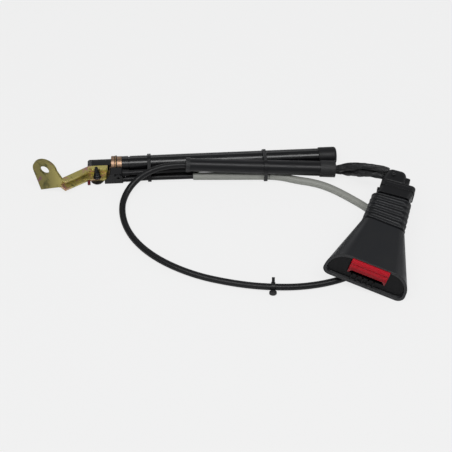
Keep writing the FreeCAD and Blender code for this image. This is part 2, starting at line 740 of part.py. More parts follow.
def igniter_plug():
    start = (GENERATOR_START_X - PLUG_LENGTH - SEAT_GAP, GENERATOR_Y, GENERATOR_Z)
    end = (GENERATOR_START_X - SEAT_GAP, GENERATOR_Y, GENERATOR_Z)
    profile = [
        (0, 0), (0, PLUG_RADIUS - 0.8), (0.8, PLUG_RADIUS), (PLUG_LENGTH - 1, PLUG_RADIUS),
        (PLUG_LENGTH, PLUG_RADIUS - 0.4), (PLUG_LENGTH, 0),
    ]
    return turned(profile, start, end)


FEED_POINTS = [(10.35, -14.3, 3.35), (28.0, -14.0, 4.05), (52.0, -14.9, 4.7), (75.0, -15.4, 4.95)]
SHEATH_POINTS = [
    (11.4, ROPE_RETURN_Y, TUBE_AXIS_Z), (38.0, -11.2, 9.3), (72.0, -10.7, 9.6), (106.0, -10.9, 7.9),
    (140.0, -10.9, 6.2), (168.0, -11.2, 4.3), (187.0, -11.6, 3.2), (199.9, -11.3, 3.0), (211.7, -16.2, 4.3),
    (221.0, -23.9, 9.9), (226.1, -34.2, 20.0),
]
SHEATH_LEAD_IN = 11.4
SWITCH_POINTS = [(218.5, -24.1, 17.5), (230.5, -31.8, 25.2)]
WIRE_POINTS = [(207.4, -14.2, 13.4), (212.0, -16.8, 15.6), (219.5, -20.4, 22.0), (232.5, -28.2, 33.0)]
"""Points of the igniter's feed lead and of the rope's sheath, held by the ties, in the layout frame."""


def igniter_lead():
    """Two-core lead from the plug along the housing's floor to the exit."""
    z = COVER_BASE_Z + COVER_WALL + FEED_CORE_RADIUS + 0.2
    y = WEB_FRONT_Y + SHEET + 0.2 + COVER_WALL + FEED_CORE_RADIUS + 0.25
    x0 = GENERATOR_START_X - PLUG_LENGTH / 2
    points = [
        (x0, y, GENERATOR_Z - PLUG_RADIUS), (x0, y, z), (-1.9, y, z), (-1.9, FEED_POINTS[0][1], z + 0.1),
        (GUIDE_HOUSING_RIGHT_X, FEED_POINTS[0][1], FEED_POINTS[0][2]),
    ]
    return tube_on(route_wire(points, "igniter lead"), FEED_CORE_RADIUS)


def sheath_ferrule():
    """Flanged ferrule that carries the rope's sheath on the guide housing."""
    x0 = GUIDE_HOUSING_RIGHT_X
    start = (x0, ROPE_RETURN_Y, TUBE_AXIS_Z)
    end = (x0 + 8, ROPE_RETURN_Y, TUBE_AXIS_Z)
    socket = 3.4
    outer = turned([(0, 0), (0, 3.6), (1.2, 3.6), (1.2, 3.4), (socket + 2.6, 3.2), (socket + 2.6, 0)], start,
                   end)
    bore = rod(ROPE_CHANNEL_RADIUS, (x0 - 1, ROPE_RETURN_Y, TUBE_AXIS_Z),
               (x0 + 20, ROPE_RETURN_Y, TUBE_AXIS_Z))
    seat = rod(SHEATH_RADIUS + 0.08, (x0 + socket, ROPE_RETURN_Y, TUBE_AXIS_Z),
               (x0 + 20, ROPE_RETURN_Y, TUBE_AXIS_Z))
    return outer.cut(bore).cut(seat)


def lead_gland():
    """Tapered gland where the igniter's lead leaves the guide housing."""
    x0 = GUIDE_HOUSING_RIGHT_X
    _, y, z = FEED_POINTS[0]
    length = FEED_POINTS[0][0] - SEAT_GAP - x0
    return turned([(0, 0), (0, 2.5), (1.0, 2.5), (length, FEED_RADIUS - 0.2), (length, 0)], (x0, y, z),
                  (x0 + 9, y, z))


# Tube, piston and what rides on it
def piston_tube():
    z = TUBE_AXIS_Z
    tube = rod(TUBE_RADIUS, (TUBE_START_X, 0, z), (TUBE_END_X, 0, z))
    bore = rod(TUBE_BORE_RADIUS, (TUBE_START_X - 1, 0, z), (TUBE_END_X + 1, 0, z))
    groove_x = TUBE_START_X + SPIGOT_LENGTH / 2
    groove = rod(TUBE_RADIUS + 1, (groove_x, 0, z), (groove_x + CRIMP_WIDTH, 0, z))
    core = rod(TUBE_RADIUS - CRIMP_DEPTH, (groove_x - 1, 0, z), (groove_x + CRIMP_WIDTH + 1, 0, z))
    return tube.cut(bore).cut(groove.cut(core))


def tube_end_cap():
    outer_radius = TUBE_RADIUS + CAP_WALL
    end = TUBE_END_X + CAP_END_WALL
    start = end - CAP_LENGTH
    z = TUBE_AXIS_Z
    body = turned([
        (0, 0), (0, outer_radius - 0.3), (0.5, outer_radius), (CAP_LENGTH - 2.2, outer_radius),
        (CAP_LENGTH - 0.7, outer_radius - 0.7), (CAP_LENGTH, outer_radius - 2.2), (CAP_LENGTH, 0),
    ], (start, 0, z), (end, 0, z))
    seat = rod(TUBE_RADIUS + RUNNING_GAP, (start - 1, 0, z), (TUBE_END_X + RUNNING_GAP, 0, z))
    plug = rod(TUBE_BORE_RADIUS - RUNNING_GAP, (TUBE_END_X - 4, 0, z), (TUBE_END_X + 1, 0, z))
    return body.cut(seat).fuse(plug)


def piston():
    """Piston with a seal groove, a cone for the locking balls and a bore for the rope."""
    length = PISTON_LENGTH
    seal = 3.0
    cone_start, cone_end = 9.0, 17.0
    profile = [
        (0, 0), (0, PISTON_RADIUS - 0.6), (0.6, PISTON_RADIUS), (seal, PISTON_RADIUS),
        (seal, SEAL_SEAT_RADIUS),
        (seal + SEAL_WIDTH, SEAL_SEAT_RADIUS), (seal + SEAL_WIDTH, PISTON_RADIUS),
        (cone_start, PISTON_RADIUS),
        (cone_start + 0.4, PISTON_RADIUS - 0.4), (cone_end, PISTON_CONE_RADIUS),
        (cone_end + 0.3, PISTON_RADIUS),
        (length, PISTON_RADIUS), (length, 0),
    ]
    start = (PISTON_START_X, 0, TUBE_AXIS_Z)
    end = (PISTON_START_X + length, 0, TUBE_AXIS_Z)
    bore = rod(ROPE_RADIUS + RUNNING_GAP, (PISTON_START_X - 1, 0, TUBE_AXIS_Z), (end[0] + 1, 0, TUBE_AXIS_Z))
    return turned(profile, start, end).cut(bore)


def piston_seal():
    x0 = PISTON_START_X + 3.0 + 0.1
    width = SEAL_WIDTH - 0.2
    inner = SEAL_SEAT_RADIUS + RUNNING_GAP
    middle = (inner + SEAL_RADIUS) / 2
    half = (SEAL_RADIUS - inner) / 2
    ring = Part.makeTorus(middle, min(half, width / 2), V(x0 + width / 2, 0, TUBE_AXIS_Z), V(1, 0, 0))
    return ring


def lock_balls():
    """Balls that wedge between the cone and the tube when the piston is pushed back."""
    x = PISTON_START_X + 15.6
    reach = TUBE_BORE_RADIUS - SLIDE_GAP - BALL_RADIUS
    balls = []
    for i in range(BALL_COUNT):
        a = 2 * math.pi * i / BALL_COUNT
        balls.append(Part.makeSphere(BALL_RADIUS,
                                     V(x, reach * math.cos(a), TUBE_AXIS_Z + reach * math.sin(a))))
    return balls


def rope_end_ferrule():
    x0 = PISTON_START_X + PISTON_LENGTH
    z = TUBE_AXIS_Z
    body = turned([
        (0, 0), (0, FERRULE_RADIUS), (FERRULE_LENGTH - 1, FERRULE_RADIUS),
        (FERRULE_LENGTH, FERRULE_RADIUS - 0.8),
        (FERRULE_LENGTH, 0),
    ], (x0, 0, z), (x0 + FERRULE_LENGTH, 0, z))
    bore = rod(ROPE_RADIUS, (x0 - 1, 0, z), (x0 + FERRULE_LENGTH - 1.5, 0, z))
    return body.cut(bore)


def piston_rope():
    x0 = TUBE_START_X + SPIGOT_LENGTH
    x1 = PISTON_START_X + PISTON_LENGTH + FERRULE_LENGTH - 1.5
    return rod(ROPE_RADIUS, (x0, 0, TUBE_AXIS_Z), (x1, 0, TUBE_AXIS_Z))


# Sleeve, conduit and ties
def sleeve_at(x):
    """Middle of the sleeve and its radius at the given x."""
    share = (x - SLEEVE_LEFT[0]) / (SLEEVE_RIGHT[0] - SLEEVE_LEFT[0])
    y = SLEEVE_LEFT[1] + share * (SLEEVE_RIGHT[1] - SLEEVE_LEFT[1])
    z = SLEEVE_LEFT[2] + share * (SLEEVE_RIGHT[2] - SLEEVE_LEFT[2])
    return y, z, SLEEVE_LEFT_RADIUS + share * (SLEEVE_RIGHT_RADIUS - SLEEVE_LEFT_RADIUS)


def along_sleeve(distance, from_right=False):
    """A point on the sleeve's axis at a distance from one of its ends."""
    left, right = V(*SLEEVE_LEFT), V(*SLEEVE_RIGHT)
    axis = (right - left).normalize()
    point = right - axis * distance if from_right else left + axis * distance
    return point


def harness_sleeve():
    body = cone_between(SLEEVE_LEFT_RADIUS, SLEEVE_RIGHT_RADIUS, SLEEVE_LEFT, SLEEVE_RIGHT)
    left_pocket = rod(SLEEVE_BORE_RADIUS, along_sleeve(-1), along_sleeve(SLEEVE_POCKET))
    right_pocket = rod(SLEEVE_BORE_RADIUS, along_sleeve(SLEEVE_POCKET, True), along_sleeve(-1, True))
    return body.cut(left_pocket).cut(right_pocket)


def sleeve_collar(from_right, length, growth):
    """A ring of tape or moulding round one end of the sleeve, turned over its end face."""
    start = along_sleeve(0, from_right)
    end = along_sleeve(length, from_right)
    near = SLEEVE_RIGHT_RADIUS if from_right else SLEEVE_LEFT_RADIUS
    taper = (SLEEVE_RIGHT_RADIUS - SLEEVE_LEFT_RADIUS) / (V(*SLEEVE_RIGHT) - V(*SLEEVE_LEFT)).Length
    far = near - taper * length if from_right else near + taper * length
    outer = cone_between(near + growth, far + growth, start, end)
    return outer.cut(cone_between(near + RUNNING_GAP, far + RUNNING_GAP, start, end))


CONDUIT_STRAIGHT = [(73.5, -15.4, 4.95), (144.5, -19.15, 4.95)]
CONDUIT_POINTS = [
    (144.7, -19.16, 4.95), (154.5, -19.7, 4.4), (170.5, -25.0, 3.7), (184.0, -28.4, 3.7), (196.5, -34.0, 3.7),
    (208.1, -42.2, 3.7), (218.7, -51.2, 3.7), (229.0, -60.6, 3.7), (238.0, -70.5, 3.7), (243.6, -84.5, 3.7),
    (242.5, -101.0, 4.2), (236.5, -114.0, 4.6),
]
LOOP_POINTS = [
    (236.4, -114.2, 4.6), (231.6, -124.6, 4.6), (221.5, -131.8, 3.4), (210.0, -137.4, 3.1),
    (196.3, -143.2, 3.1),
    (178.0, -147.3, 3.1), (158.0, -149.3, 3.6), (137.5, -148.8, 4.5), (118.0, -145.4, 3.6),
    (97.0, -139.9, 3.1),
    (76.0, -133.0, 3.1), (57.0, -123.6, 3.1), (40.5, -112.6, 3.1), (26.5, -99.6, 3.1), (15.5, -84.5, 3.1),
    (8.6, -67.5, 3.1), (6.4, -49.5, 3.2), (9.4, -35.5, 4.5), (17.5, -24.6, 9.4), (31.0, -17.0, 15.6),
    (54.0, -12.8, 19.6), (77.0, -13.85, 18.4),
]
"""Routes of the grey conduit and of the lead that comes out of it and loops back to the sleeve."""


def conduit_held():
    start, end = CONDUIT_STRAIGHT
    body = rod(CONDUIT_RADIUS, start, end)
    away = V(*end) - V(*start)
    depth = V(*start) + away.normalize() * CONDUIT_SOCKET
    return body.cut(rod(CONDUIT_BORE_RADIUS, start, (depth.x, depth.y, depth.z)))


def conduit_joint():
    """Moulded end of the conduit under the boot, where the lead comes out of it."""
    end = V(*CONDUIT_POINTS[-1])
    way = (end - V(*CONDUIT_POINTS[-2])).normalize()
    start = end - way * (CONDUIT_JOINT_LENGTH / 2)
    body = turned([
        (0, 0), (0, CONDUIT_RADIUS + 0.5), (0.6, CONDUIT_RADIUS + CONDUIT_JOINT_GROWTH),
        (CONDUIT_JOINT_LENGTH * 0.7, CONDUIT_RADIUS + CONDUIT_JOINT_GROWTH),
        (CONDUIT_JOINT_LENGTH, LEAD_RADIUS + 0.6),
        (CONDUIT_JOINT_LENGTH, 0),
    ], tuple(start), tuple(end + way))
    conduit_bore = rod(CONDUIT_RADIUS + 0.02, tuple(start - way), tuple(end))
    lead_bore = rod(LEAD_RADIUS + 0.15, tuple(start), tuple(end + way * CONDUIT_JOINT_LENGTH))
    return body.cut(conduit_bore).cut(lead_bore)


def tie_head(y, z, angle, x):
    """The locking head of a tie, standing out from the band at the given angle."""
    a = math.radians(angle)
    head = box(x - 0.4, x + TIE_WIDTH + 0.4, 0, TIE_HEAD * 0.75, -TIE_HEAD / 2, TIE_HEAD / 2)
    head.rotate(V(0, 0, 0), V(1, 0, 0), angle)
    return head.translated(V(0, y, z))


def tie(circles, x, head_circle, head_angle):
    """A cable tie round a bundle, with its head on one of the circles."""
    ring = band(circles, x, TIE_WIDTH, TIE_GAP, TIE_THICKNESS)
    y0, z0, r = head_circle
    a = math.radians(head_angle)
    reach = r + TIE_GAP + TIE_THICKNESS * 0.5
    head = tie_head(y0 + reach * math.cos(a), z0 + reach * math.sin(a), head_angle, x)
    return ring.fuse(head)


def point_on(points, x):
    """Where a held lead passes the given x, as y and z."""
    for p, q in zip(points, points[1:]):
        if p[0] <= x <= q[0]:
            share = (x - p[0]) / (q[0] - p[0])
            return p[1] + share * (q[1] - p[1]), p[2] + share * (q[2] - p[2])
    raise ValueError("no point of the lead has this x")


def tie_left():
    """Tie round the tube, the rope's sheath and the feed lead."""
    middle = TIE_LEFT_X + TIE_WIDTH / 2
    tube = (0.0, TUBE_AXIS_Z, TUBE_RADIUS)
    sheath = (*point_on(SHEATH_POINTS, middle), SHEATH_RADIUS + 0.1)
    feed = (*point_on(FEED_POINTS, middle), FEED_RADIUS + 0.1)
    return tie([tube, sheath, feed], TIE_LEFT_X, tube, 60)


def tie_right():
    """Tie round the tube, the sleeve and the conduit."""
    middle = TIE_RIGHT_X + TIE_WIDTH / 2
    tube = (0.0, TUBE_AXIS_Z, TUBE_RADIUS)
    y, z, radius = sleeve_at(middle)
    conduit = (*point_on(CONDUIT_STRAIGHT, middle), CONDUIT_RADIUS + 0.05)
    return tie([tube, (y, z, radius + 0.1), conduit], TIE_RIGHT_X, tube, 60)


def crimp_ring():
    x0 = NECK_RING_END_X + 0.2
    z = TUBE_AXIS_Z
    outer = turned([
        (0, 0), (0, TUBE_RADIUS + CRIMP_RING_HEIGHT - 0.3), (0.3, TUBE_RADIUS + CRIMP_RING_HEIGHT),
        (CRIMP_RING_WIDTH - 0.3, TUBE_RADIUS + CRIMP_RING_HEIGHT),
        (CRIMP_RING_WIDTH, TUBE_RADIUS + CRIMP_RING_HEIGHT - 0.3), (CRIMP_RING_WIDTH, 0),
    ], (x0, 0, z), (x0 + CRIMP_RING_WIDTH, 0, z))
    _, front, low, high = lobe_limits()
    gap = box(x0 - 1, x0 + CRIMP_RING_WIDTH + 1, front, 0, low - SEAT_GAP, high + SEAT_GAP)
    return outer.cut(rod(TUBE_RADIUS + 0.02, (x0 - 1, 0, z), (x0 + CRIMP_RING_WIDTH + 1, 0, z))).cut(gap)


LOOP_TIE_X = 137.5
CUT_TAIL = 3.4
PUSH_CLIP_RADIUS = 3.3
PUSH_CLIP_REACH = 3.6


def loop_tie():
    """Tie on the loop lead with a push-in clip on one side and a cut tail on the other."""
    inner = range(1, len(LOOP_POINTS) // 2)
    held = min(inner, key=lambda i: abs(LOOP_POINTS[i][0] - LOOP_TIE_X))
    x, y, z = LOOP_POINTS[held]
    # the rounded corner of the lead passes a little inside its control point
    before, after = V(*LOOP_POINTS[held - 1]), V(*LOOP_POINTS[held + 1])
    way = (after - before).normalize()
    here = V(x, y, z) * 0.8 + (before + after) * 0.1
    here.z = LEAD_RADIUS + TIE_GAP + TIE_THICKNESS + 0.1
    start = here - way * (TIE_WIDTH / 2)
    end = here + way * (TIE_WIDTH / 2)
    ring = rod(LEAD_RADIUS + TIE_GAP + TIE_THICKNESS, tuple(start), tuple(end))
    side = way.cross(V(0, 0, 1)).normalize()
    near = side if side.y < 0 else side * -1
    clip_start = here + near * (LEAD_RADIUS + 0.6) - V(0, 0, 0.6)
    clip_end = clip_start + near * PUSH_CLIP_REACH
    clip = turned([
        (0, 0), (0, 1.6), (PUSH_CLIP_REACH * 0.4, 1.6), (PUSH_CLIP_REACH * 0.45, PUSH_CLIP_RADIUS),
        (PUSH_CLIP_REACH * 0.85, PUSH_CLIP_RADIUS), (PUSH_CLIP_REACH, PUSH_CLIP_RADIUS * 0.7),
        (PUSH_CLIP_REACH, 0),
    ], tuple(clip_start), tuple(clip_end))
    tail_way = (near * -0.75 + V(0, 0, 0.66)).normalize()
    tail_root = here + tail_way * (LEAD_RADIUS + 0.6)
    tail = Part.makeBox(2.6, 2.0, CUT_TAIL + 1.4, V(-1.3, -1.0, 0))
    turn = FreeCAD.Rotation(way, V(0, 0, 0), tail_way, "ZXY")
    tail.Placement = FreeCAD.Placement(tail_root, turn)
    body = ring.multiFuse([clip, tail])
    return body.cut(rod(LEAD_RADIUS + TIE_GAP + 0.05, tuple(start - way * 3), tuple(end + way * 3)))


# Buckle boot: local frame with x across, y from the mouth to the guide and z out of the front
def flare_section(y, inset):
    """Outline of the flared boot at a distance from its mouth, taken in by an inset all round."""
    share = y / FLARE_LENGTH

    def between(mouth, neck):
        return mouth + (neck - mouth) * share

    return crowned_outline(
        between(MOUTH_WIDTH, NECK_WIDTH) / 2 - inset, between(MOUTH_LOW, NECK_LOW) - inset,
        between(MOUTH_HIGH, NECK_HIGH) - inset, between(MOUTH_CORNER, NECK_CORNER) - inset * 0.6,
        between(MOUTH_SHOULDER_X, NECK_WIDTH / 2 - NECK_CORNER) - inset * 0.4,
        between(MOUTH_SHOULDER_Z, NECK_HIGH - NECK_CORNER) - inset * 0.4, y)


def flare_loft(inset, growth=0.0):
    """The flared boot between its mouth and the bellows, taken in by an inset all round."""
    reach = 8.0
    return Part.makeLoft([flare_section(-reach, inset), flare_section(FLARE_LENGTH + growth, inset)], True,
                         True)


def slab(near, far):
    """The space between two depths below the slanted end face."""
    block = box(-80, 80, near, far, -60, 60)
    block.rotate(V(0, 0, 0), V(1, 0, 0), -END_SLANT)
    return block


def buckle_cover():
    outer = flare_loft(0).common(slab(0, 200))
    roof_end = BUTTON_DEPTH + BUTTON_TRAVEL + 1.5
    half = BUTTON_HALF_WIDTH + SLIDE_GAP
    pocket = flare_loft(BUTTON_ROOF, 0.5).common(box(-half, half, -20, roof_end, 0, 40))
    return outer.cut(flare_loft(BOOT_WALL, 0.5)).cut(pocket)


def mouth_bezel():
    plate_body = flare_loft(BOOT_WALL + 0.1).common(slab(BEZEL_INSET, BEZEL_INSET + BEZEL_THICKNESS))
    half = BUTTON_HALF_WIDTH + SLIDE_GAP
    window = box(-half, half, -20, 30, SLOT_BOTTOM, BUTTON_TOP + 2.0)
    fins = []
    for i in range(FIN_COUNT):
        x = FIN_MIDDLE_X + (i - (FIN_COUNT - 1) / 2) * FIN_PITCH
        fin = box(x - FIN_WIDTH / 2, x + FIN_WIDTH / 2, BEZEL_INSET - FIN_DEPTH, BEZEL_INSET + 0.5,
                  SLOT_BOTTOM - FIN_HEIGHT, SLOT_BOTTOM - 0.2)
        fin.rotate(V(0, 0, 0), V(1, 0, 0), -END_SLANT)
        fins.append(fin)
    return plate_body.cut(window).multiFuse(fins)


def release_button():
    slope = math.tan(math.radians(END_SLANT))
    half = BUTTON_HALF_WIDTH

    def face(z, proud):
        return z * slope - proud

    outline = [
        (-half, BUTTON_DEPTH, BUTTON_TOP - 0.6), (-half, face(BUTTON_TOP, -1.6), BUTTON_TOP),
        (-half, face(9.2, 0.4), 9.2), (-half, face(6.2, 1.0), 6.2), (-half, face(4.8, 0.2), 4.8),
        (-half, face(BUTTON_BOTTOM, 1.0), BUTTON_BOTTOM), (-half, BUTTON_DEPTH, BUTTON_BOTTOM),
    ]
    body = prism(outline, (2 * half, 0, 0))
    legs = []
    arms = []
    for side in (-1, 1):
        front = face(BUTTON_BOTTOM, 0.9)
        legs.append(prism([
            (side * half, front, BUTTON_BOTTOM + 0.5),
            (side * (half - BUTTON_LEG - 1.2), front, BUTTON_BOTTOM + 0.5),
            (side * (half - 0.7), front, BUTTON_LEG_BOTTOM), (side * half, front, BUTTON_LEG_BOTTOM),
        ], (0, BUTTON_DEPTH - front, 0)))
        x0, x1 = sorted((side * BUTTON_ARM_INNER, side * (BUTTON_ARM_INNER + BUTTON_ARM_WIDTH)))
        arms.append(prism([
            (x0, BUTTON_DEPTH - 1, BUTTON_ARM_HIGH), (x0, BUTTON_ARM_END, BUTTON_ARM_HIGH),
            (x0, BUTTON_ARM_END, BUTTON_ARM_LOW + 0.7), (x0, BUTTON_ARM_END - 4, BUTTON_ARM_LOW),
            (x0, BUTTON_DEPTH - 1, BUTTON_ARM_LOW),
        ], (x1 - x0, 0, 0)))
    return body.multiFuse(legs + arms)


def buckle_frame():
    """Steel frame: floor, two side walls with the pin's holes, and a tail that takes the rope's fitting."""
    w, t = FRAME_HALF_WIDTH, FRAME_SHEET
    floor = box(-w, w, FRAME_START, FRAME_END, FRAME_FLOOR - t, FRAME_FLOOR)
    leg_space = BUTTON_HALF_WIDTH - BUTTON_LEG - 2.0
    for side in (-1, 1):
        x0, x1 = sorted((side * leg_space, side * (w + 1)))
        floor = floor.cut(box(x0, x1, FRAME_START - 1, BUTTON_DEPTH + BUTTON_TRAVEL + 1.0,
                              FRAME_FLOOR - 2 * t, 0))
    left = box(-w, -w + t, FRAME_WALL_START, FRAME_END, FRAME_FLOOR - t, FRAME_WALL_TOP)
    right = box(w - t, w, FRAME_WALL_START, FRAME_END, FRAME_FLOOR - t, FRAME_WALL_TOP)
    tail = box(-w, w, FRAME_END - t, FRAME_END, FRAME_FLOOR - t, FITTING_Z + FITTING_RADIUS + 1.4)
    seats = [box(-w, -SPRING_SEAT_INNER, SPRING_SEAT_Y, SPRING_SEAT_Y + t, BUTTON_SPRING_Z - 2,
                 FRAME_WALL_TOP),
             box(SPRING_SEAT_INNER, w, SPRING_SEAT_Y, SPRING_SEAT_Y + t, BUTTON_SPRING_Z - 2, FRAME_WALL_TOP)]
    window = box(-5.6, 5.6, LATCH_FRONT - 1, LATCH_FRONT + LATCH_NOSE + 1.2, FRAME_FLOOR - 2 * t,
                 FRAME_FLOOR + 0.5)
    pin_hole = rod(LATCH_PIN_RADIUS + 0.02, (-w - 1, LATCH_PIN_Y, LATCH_PIN_Z),
                   (w + 1, LATCH_PIN_Y, LATCH_PIN_Z))
    rope_hole = rod(FITTING_RADIUS * 0.7, (0, FRAME_END - 5, FITTING_Z), (0, FRAME_END + 2, FITTING_Z))
    return floor.multiFuse([left, right, tail] + seats).cut(window).cut(pin_hole).cut(rope_hole)


def latch_pin():
    w = FRAME_HALF_WIDTH
    body = rod(LATCH_PIN_RADIUS, (-w - 0.4, LATCH_PIN_Y, LATCH_PIN_Z), (w + 0.4, LATCH_PIN_Y, LATCH_PIN_Z))
    head = turned([(0, 0), (0, 1.9), (0.5, 2.4), (0.9, 2.4), (0.9, 0)], (-w - 0.9, LATCH_PIN_Y, LATCH_PIN_Z),
                  (0, LATCH_PIN_Y, LATCH_PIN_Z))
    return body.fuse(head)


def latch_lever():
    w = LATCH_HALF_WIDTH
    top = LATCH_PIN_Z + LATCH_THICKNESS / 2
    low = LATCH_PIN_Z - LATCH_THICKNESS / 2
    outline = [
        (-w, LATCH_FRONT, LATCH_NOSE_BOTTOM + 1.2), (-w, LATCH_FRONT + LATCH_NOSE, LATCH_NOSE_BOTTOM),
        (-w, LATCH_FRONT + LATCH_NOSE, low), (-w, LATCH_PIN_Y, low), (-w, LATCH_PIN_Y, top),
        (-w, LATCH_FRONT + 1.2, top), (-w, LATCH_FRONT, top - 1.2),
    ]
    body = prism(outline, (2 * w, 0, 0))
    barrel = rod(LATCH_PIN_RADIUS + 1.4, (-w, LATCH_PIN_Y, LATCH_PIN_Z), (w, LATCH_PIN_Y, LATCH_PIN_Z))
    bore = rod(LATCH_PIN_RADIUS + RUNNING_GAP, (-w - 1, LATCH_PIN_Y, LATCH_PIN_Z),
               (w + 1, LATCH_PIN_Y, LATCH_PIN_Z))
    bar_end = BUTTON_ARM_INNER + BUTTON_ARM_WIDTH - 0.8
    bar_y = BUTTON_ARM_END + LATCH_BAR_GAP
    bar = box(-bar_end, bar_end, bar_y, bar_y + LATCH_BAR, low + 0.6, top)
    posts = [box(-bar_end, -BUTTON_ARM_INNER + 0.2, bar_y, bar_y + LATCH_BAR, low + 0.6, LATCH_POST_TOP),
             box(BUTTON_ARM_INNER - 0.2, bar_end, bar_y, bar_y + LATCH_BAR, low + 0.6, LATCH_POST_TOP)]
    nose_waist = LATCH_HALF_WIDTH - 1.0
    sides = [box(-w - 1, -nose_waist, 0, LATCH_FRONT + LATCH_NOSE + 0.01, -20, low - 0.6),
             box(nose_waist, w + 1, 0, LATCH_FRONT + LATCH_NOSE + 0.01, -20, low - 0.6)]
    return body.multiFuse([barrel, bar] + posts).cut(bore).cut(sides[0]).cut(sides[1])


def ejector():
    """Slide that pushes the tongue out: two rails joined by a bridge behind the latch."""
    end = EJECTOR_FRONT + EJECTOR_LENGTH
    rails = []
    for side in (-1, 1):
        x0, x1 = sorted((side * EJECTOR_INNER, side * EJECTOR_OUTER))
        rails.append(box(x0, x1, EJECTOR_FRONT, end, EJECTOR_BOTTOM, EJECTOR_TOP))
    bridge = box(-EJECTOR_OUTER, EJECTOR_OUTER, end - EJECTOR_BRIDGE, end, EJECTOR_BOTTOM, EJECTOR_TOP)
    return rails[0].multiFuse([rails[1], bridge])


def spring_between(x, z, y0, y1, radius):
    """A coil spring lying along y between two seats."""
    spring = coil_spring(radius, SPRING_WIRE, y1 - y0 - 2 * SPRING_WIRE - 0.1, SPRING_TURNS)
    spring.rotate(V(0, 0, 0), V(1, 0, 0), -90)
    return spring.translated(V(x, y0 + SPRING_WIRE + 0.05, z))


def button_springs():
    return [spring_between(side * BUTTON_SPRING_X, BUTTON_SPRING_Z, BUTTON_DEPTH, SPRING_SEAT_Y,
                           BUTTON_SPRING_RADIUS)
            for side in (-1, 1)]


def ejector_springs():
    y0 = EJECTOR_FRONT + EJECTOR_LENGTH
    return [spring_between(side * EJECTOR_SPRING_X, EJECTOR_SPRING_Z, y0, FRAME_END - FRAME_SHEET,
                           EJECTOR_SPRING_RADIUS) for side in (-1, 1)]


def frame_tray():
    """Plastic tray that carries the frame on the cover's lower wall."""
    block = box(-TRAY_HALF_WIDTH, TRAY_HALF_WIDTH, FRAME_START + 3, FRAME_END - 2, -30,
                FRAME_FLOOR - FRAME_SHEET)
    return block.common(flare_loft(BOOT_WALL + 0.05))


def rope_fitting():
    start = (0, FITTING_START, FITTING_Z)
    end = (0, FITTING_START + FITTING_LENGTH, FITTING_Z)
    r = FITTING_RADIUS
    body = turned([
        (0, 0), (0, r - 0.6), (0.6, r), (FRAME_END - FRAME_SHEET - FITTING_START - 0.1, r),
        (FRAME_END - FRAME_SHEET - FITTING_START - 0.1, r * 0.66), (FITTING_LENGTH - 0.8, r * 0.66),
        (FITTING_LENGTH, r * 0.55), (FITTING_LENGTH, 0),
    ], start, end)
    bore = rod(ROPE_RADIUS, (0, FITTING_START + 2, FITTING_Z), (0, FITTING_START + 20, FITTING_Z))
    return body.cut(bore)


ROPE_STUB_END = 62.0


def buckle_rope():
    return rod(ROPE_RADIUS, (0, FITTING_START + 2, FITTING_Z), (0, ROPE_STUB_END, FITTING_Z))


def twisted(shape, share):
    """A shape turned about the rope's axis by a share of the guide's twist."""
    moved = shape.copy()
    moved.rotate(V(0, 0, FITTING_Z), V(0, 1, 0), -GUIDE_TWIST * share)
    return moved


def bellows_boot():
    """Folded part of the boot: a corrugated shell, twisted a little towards the guide's neck."""
    def sections(inset):
        wires = []
        steps = 2 * BELLOWS_RIBS
        for i in range(steps + 1):
            share = i / steps
            y = FLARE_LENGTH + BELLOWS_LENGTH * share
            dip = inset + (0 if i % 2 else BELLOWS_GROOVE)
            half = (NECK_WIDTH + (BELLOWS_TOP_WIDTH - NECK_WIDTH) * share) / 2 - dip
            low = NECK_LOW + (BELLOWS_TOP_LOW - NECK_LOW) * share - dip
            high = NECK_HIGH + (BELLOWS_TOP_HIGH - NECK_HIGH) * share - dip
            corner = NECK_CORNER - dip * 0.6
            wires.append(twisted(crowned_outline(half, low, high, corner, half - corner, high - corner, y),
                                 share))
        return wires

    outer = Part.makeLoft(sections(0), True, True)
    inner = Part.makeLoft(sections(BELLOWS_WALL), True, True)
    end = FLARE_LENGTH + BELLOWS_LENGTH
    middle = (BELLOWS_TOP_HIGH - BELLOWS_TOP_LOW) / 2
    dip = BELLOWS_GROOVE + 0.02
    lip = rounded_block(BELLOWS_TOP_WIDTH - 2 * dip, BELLOWS_TOP_HIGH + BELLOWS_TOP_LOW - 2 * dip,
                        NECK_CORNER - 1.0,
                        end - 2.2, end, 0, middle)
    neck = rounded_block(GUIDE_NECK_WIDTH + 2 * SEAT_GAP, GUIDE_NECK_DEPTH + 2 * SEAT_GAP,
                         GUIDE_CORNER + SEAT_GAP,
                         end - 3.2, end + 1, 0, GUIDE_Z)
    return outer.cut(inner).fuse(twisted(lip, 1)).cut(twisted(neck, 1))


# Guide elbow, on the boot's axis above the bellows
def guide_start():
    return FLARE_LENGTH + BELLOWS_LENGTH


def exit_direction():
    """The way the sheath leaves the elbow: out of its left side and a little down."""
    lean = math.radians(ELBOW_TURN_LEAN)
    return V(-math.cos(lean), 0, -math.sin(lean))


def elbow_top():
    """Where the straight part of the rope ends and its turn in the elbow begins."""
    return guide_start() + COLLAR_LENGTH + COLLAR_FLANGE + ELBOW_FLANGE + 1.0


def elbow_wire(seat=0.0):
    """Middle line of the rope from inside the boot through the elbow, up to a seat's depth from its side."""
    r = ELBOW_TURN_RADIUS
    k = r * (1 - math.sqrt(0.5))
    out = exit_direction()
    start = V(0, elbow_top(), FITTING_Z)
    middle = start + out * k + V(0, r - k, 0)
    end = start + out * r + V(0, r, 0)
    return Part.Wire([
        Part.LineSegment(V(0, ROPE_STUB_END, FITTING_Z), start).toShape(),
        Part.Arc(start, middle, end).toShape(),
        Part.LineSegment(end, sheath_entry() - out * seat).toShape(),
    ])


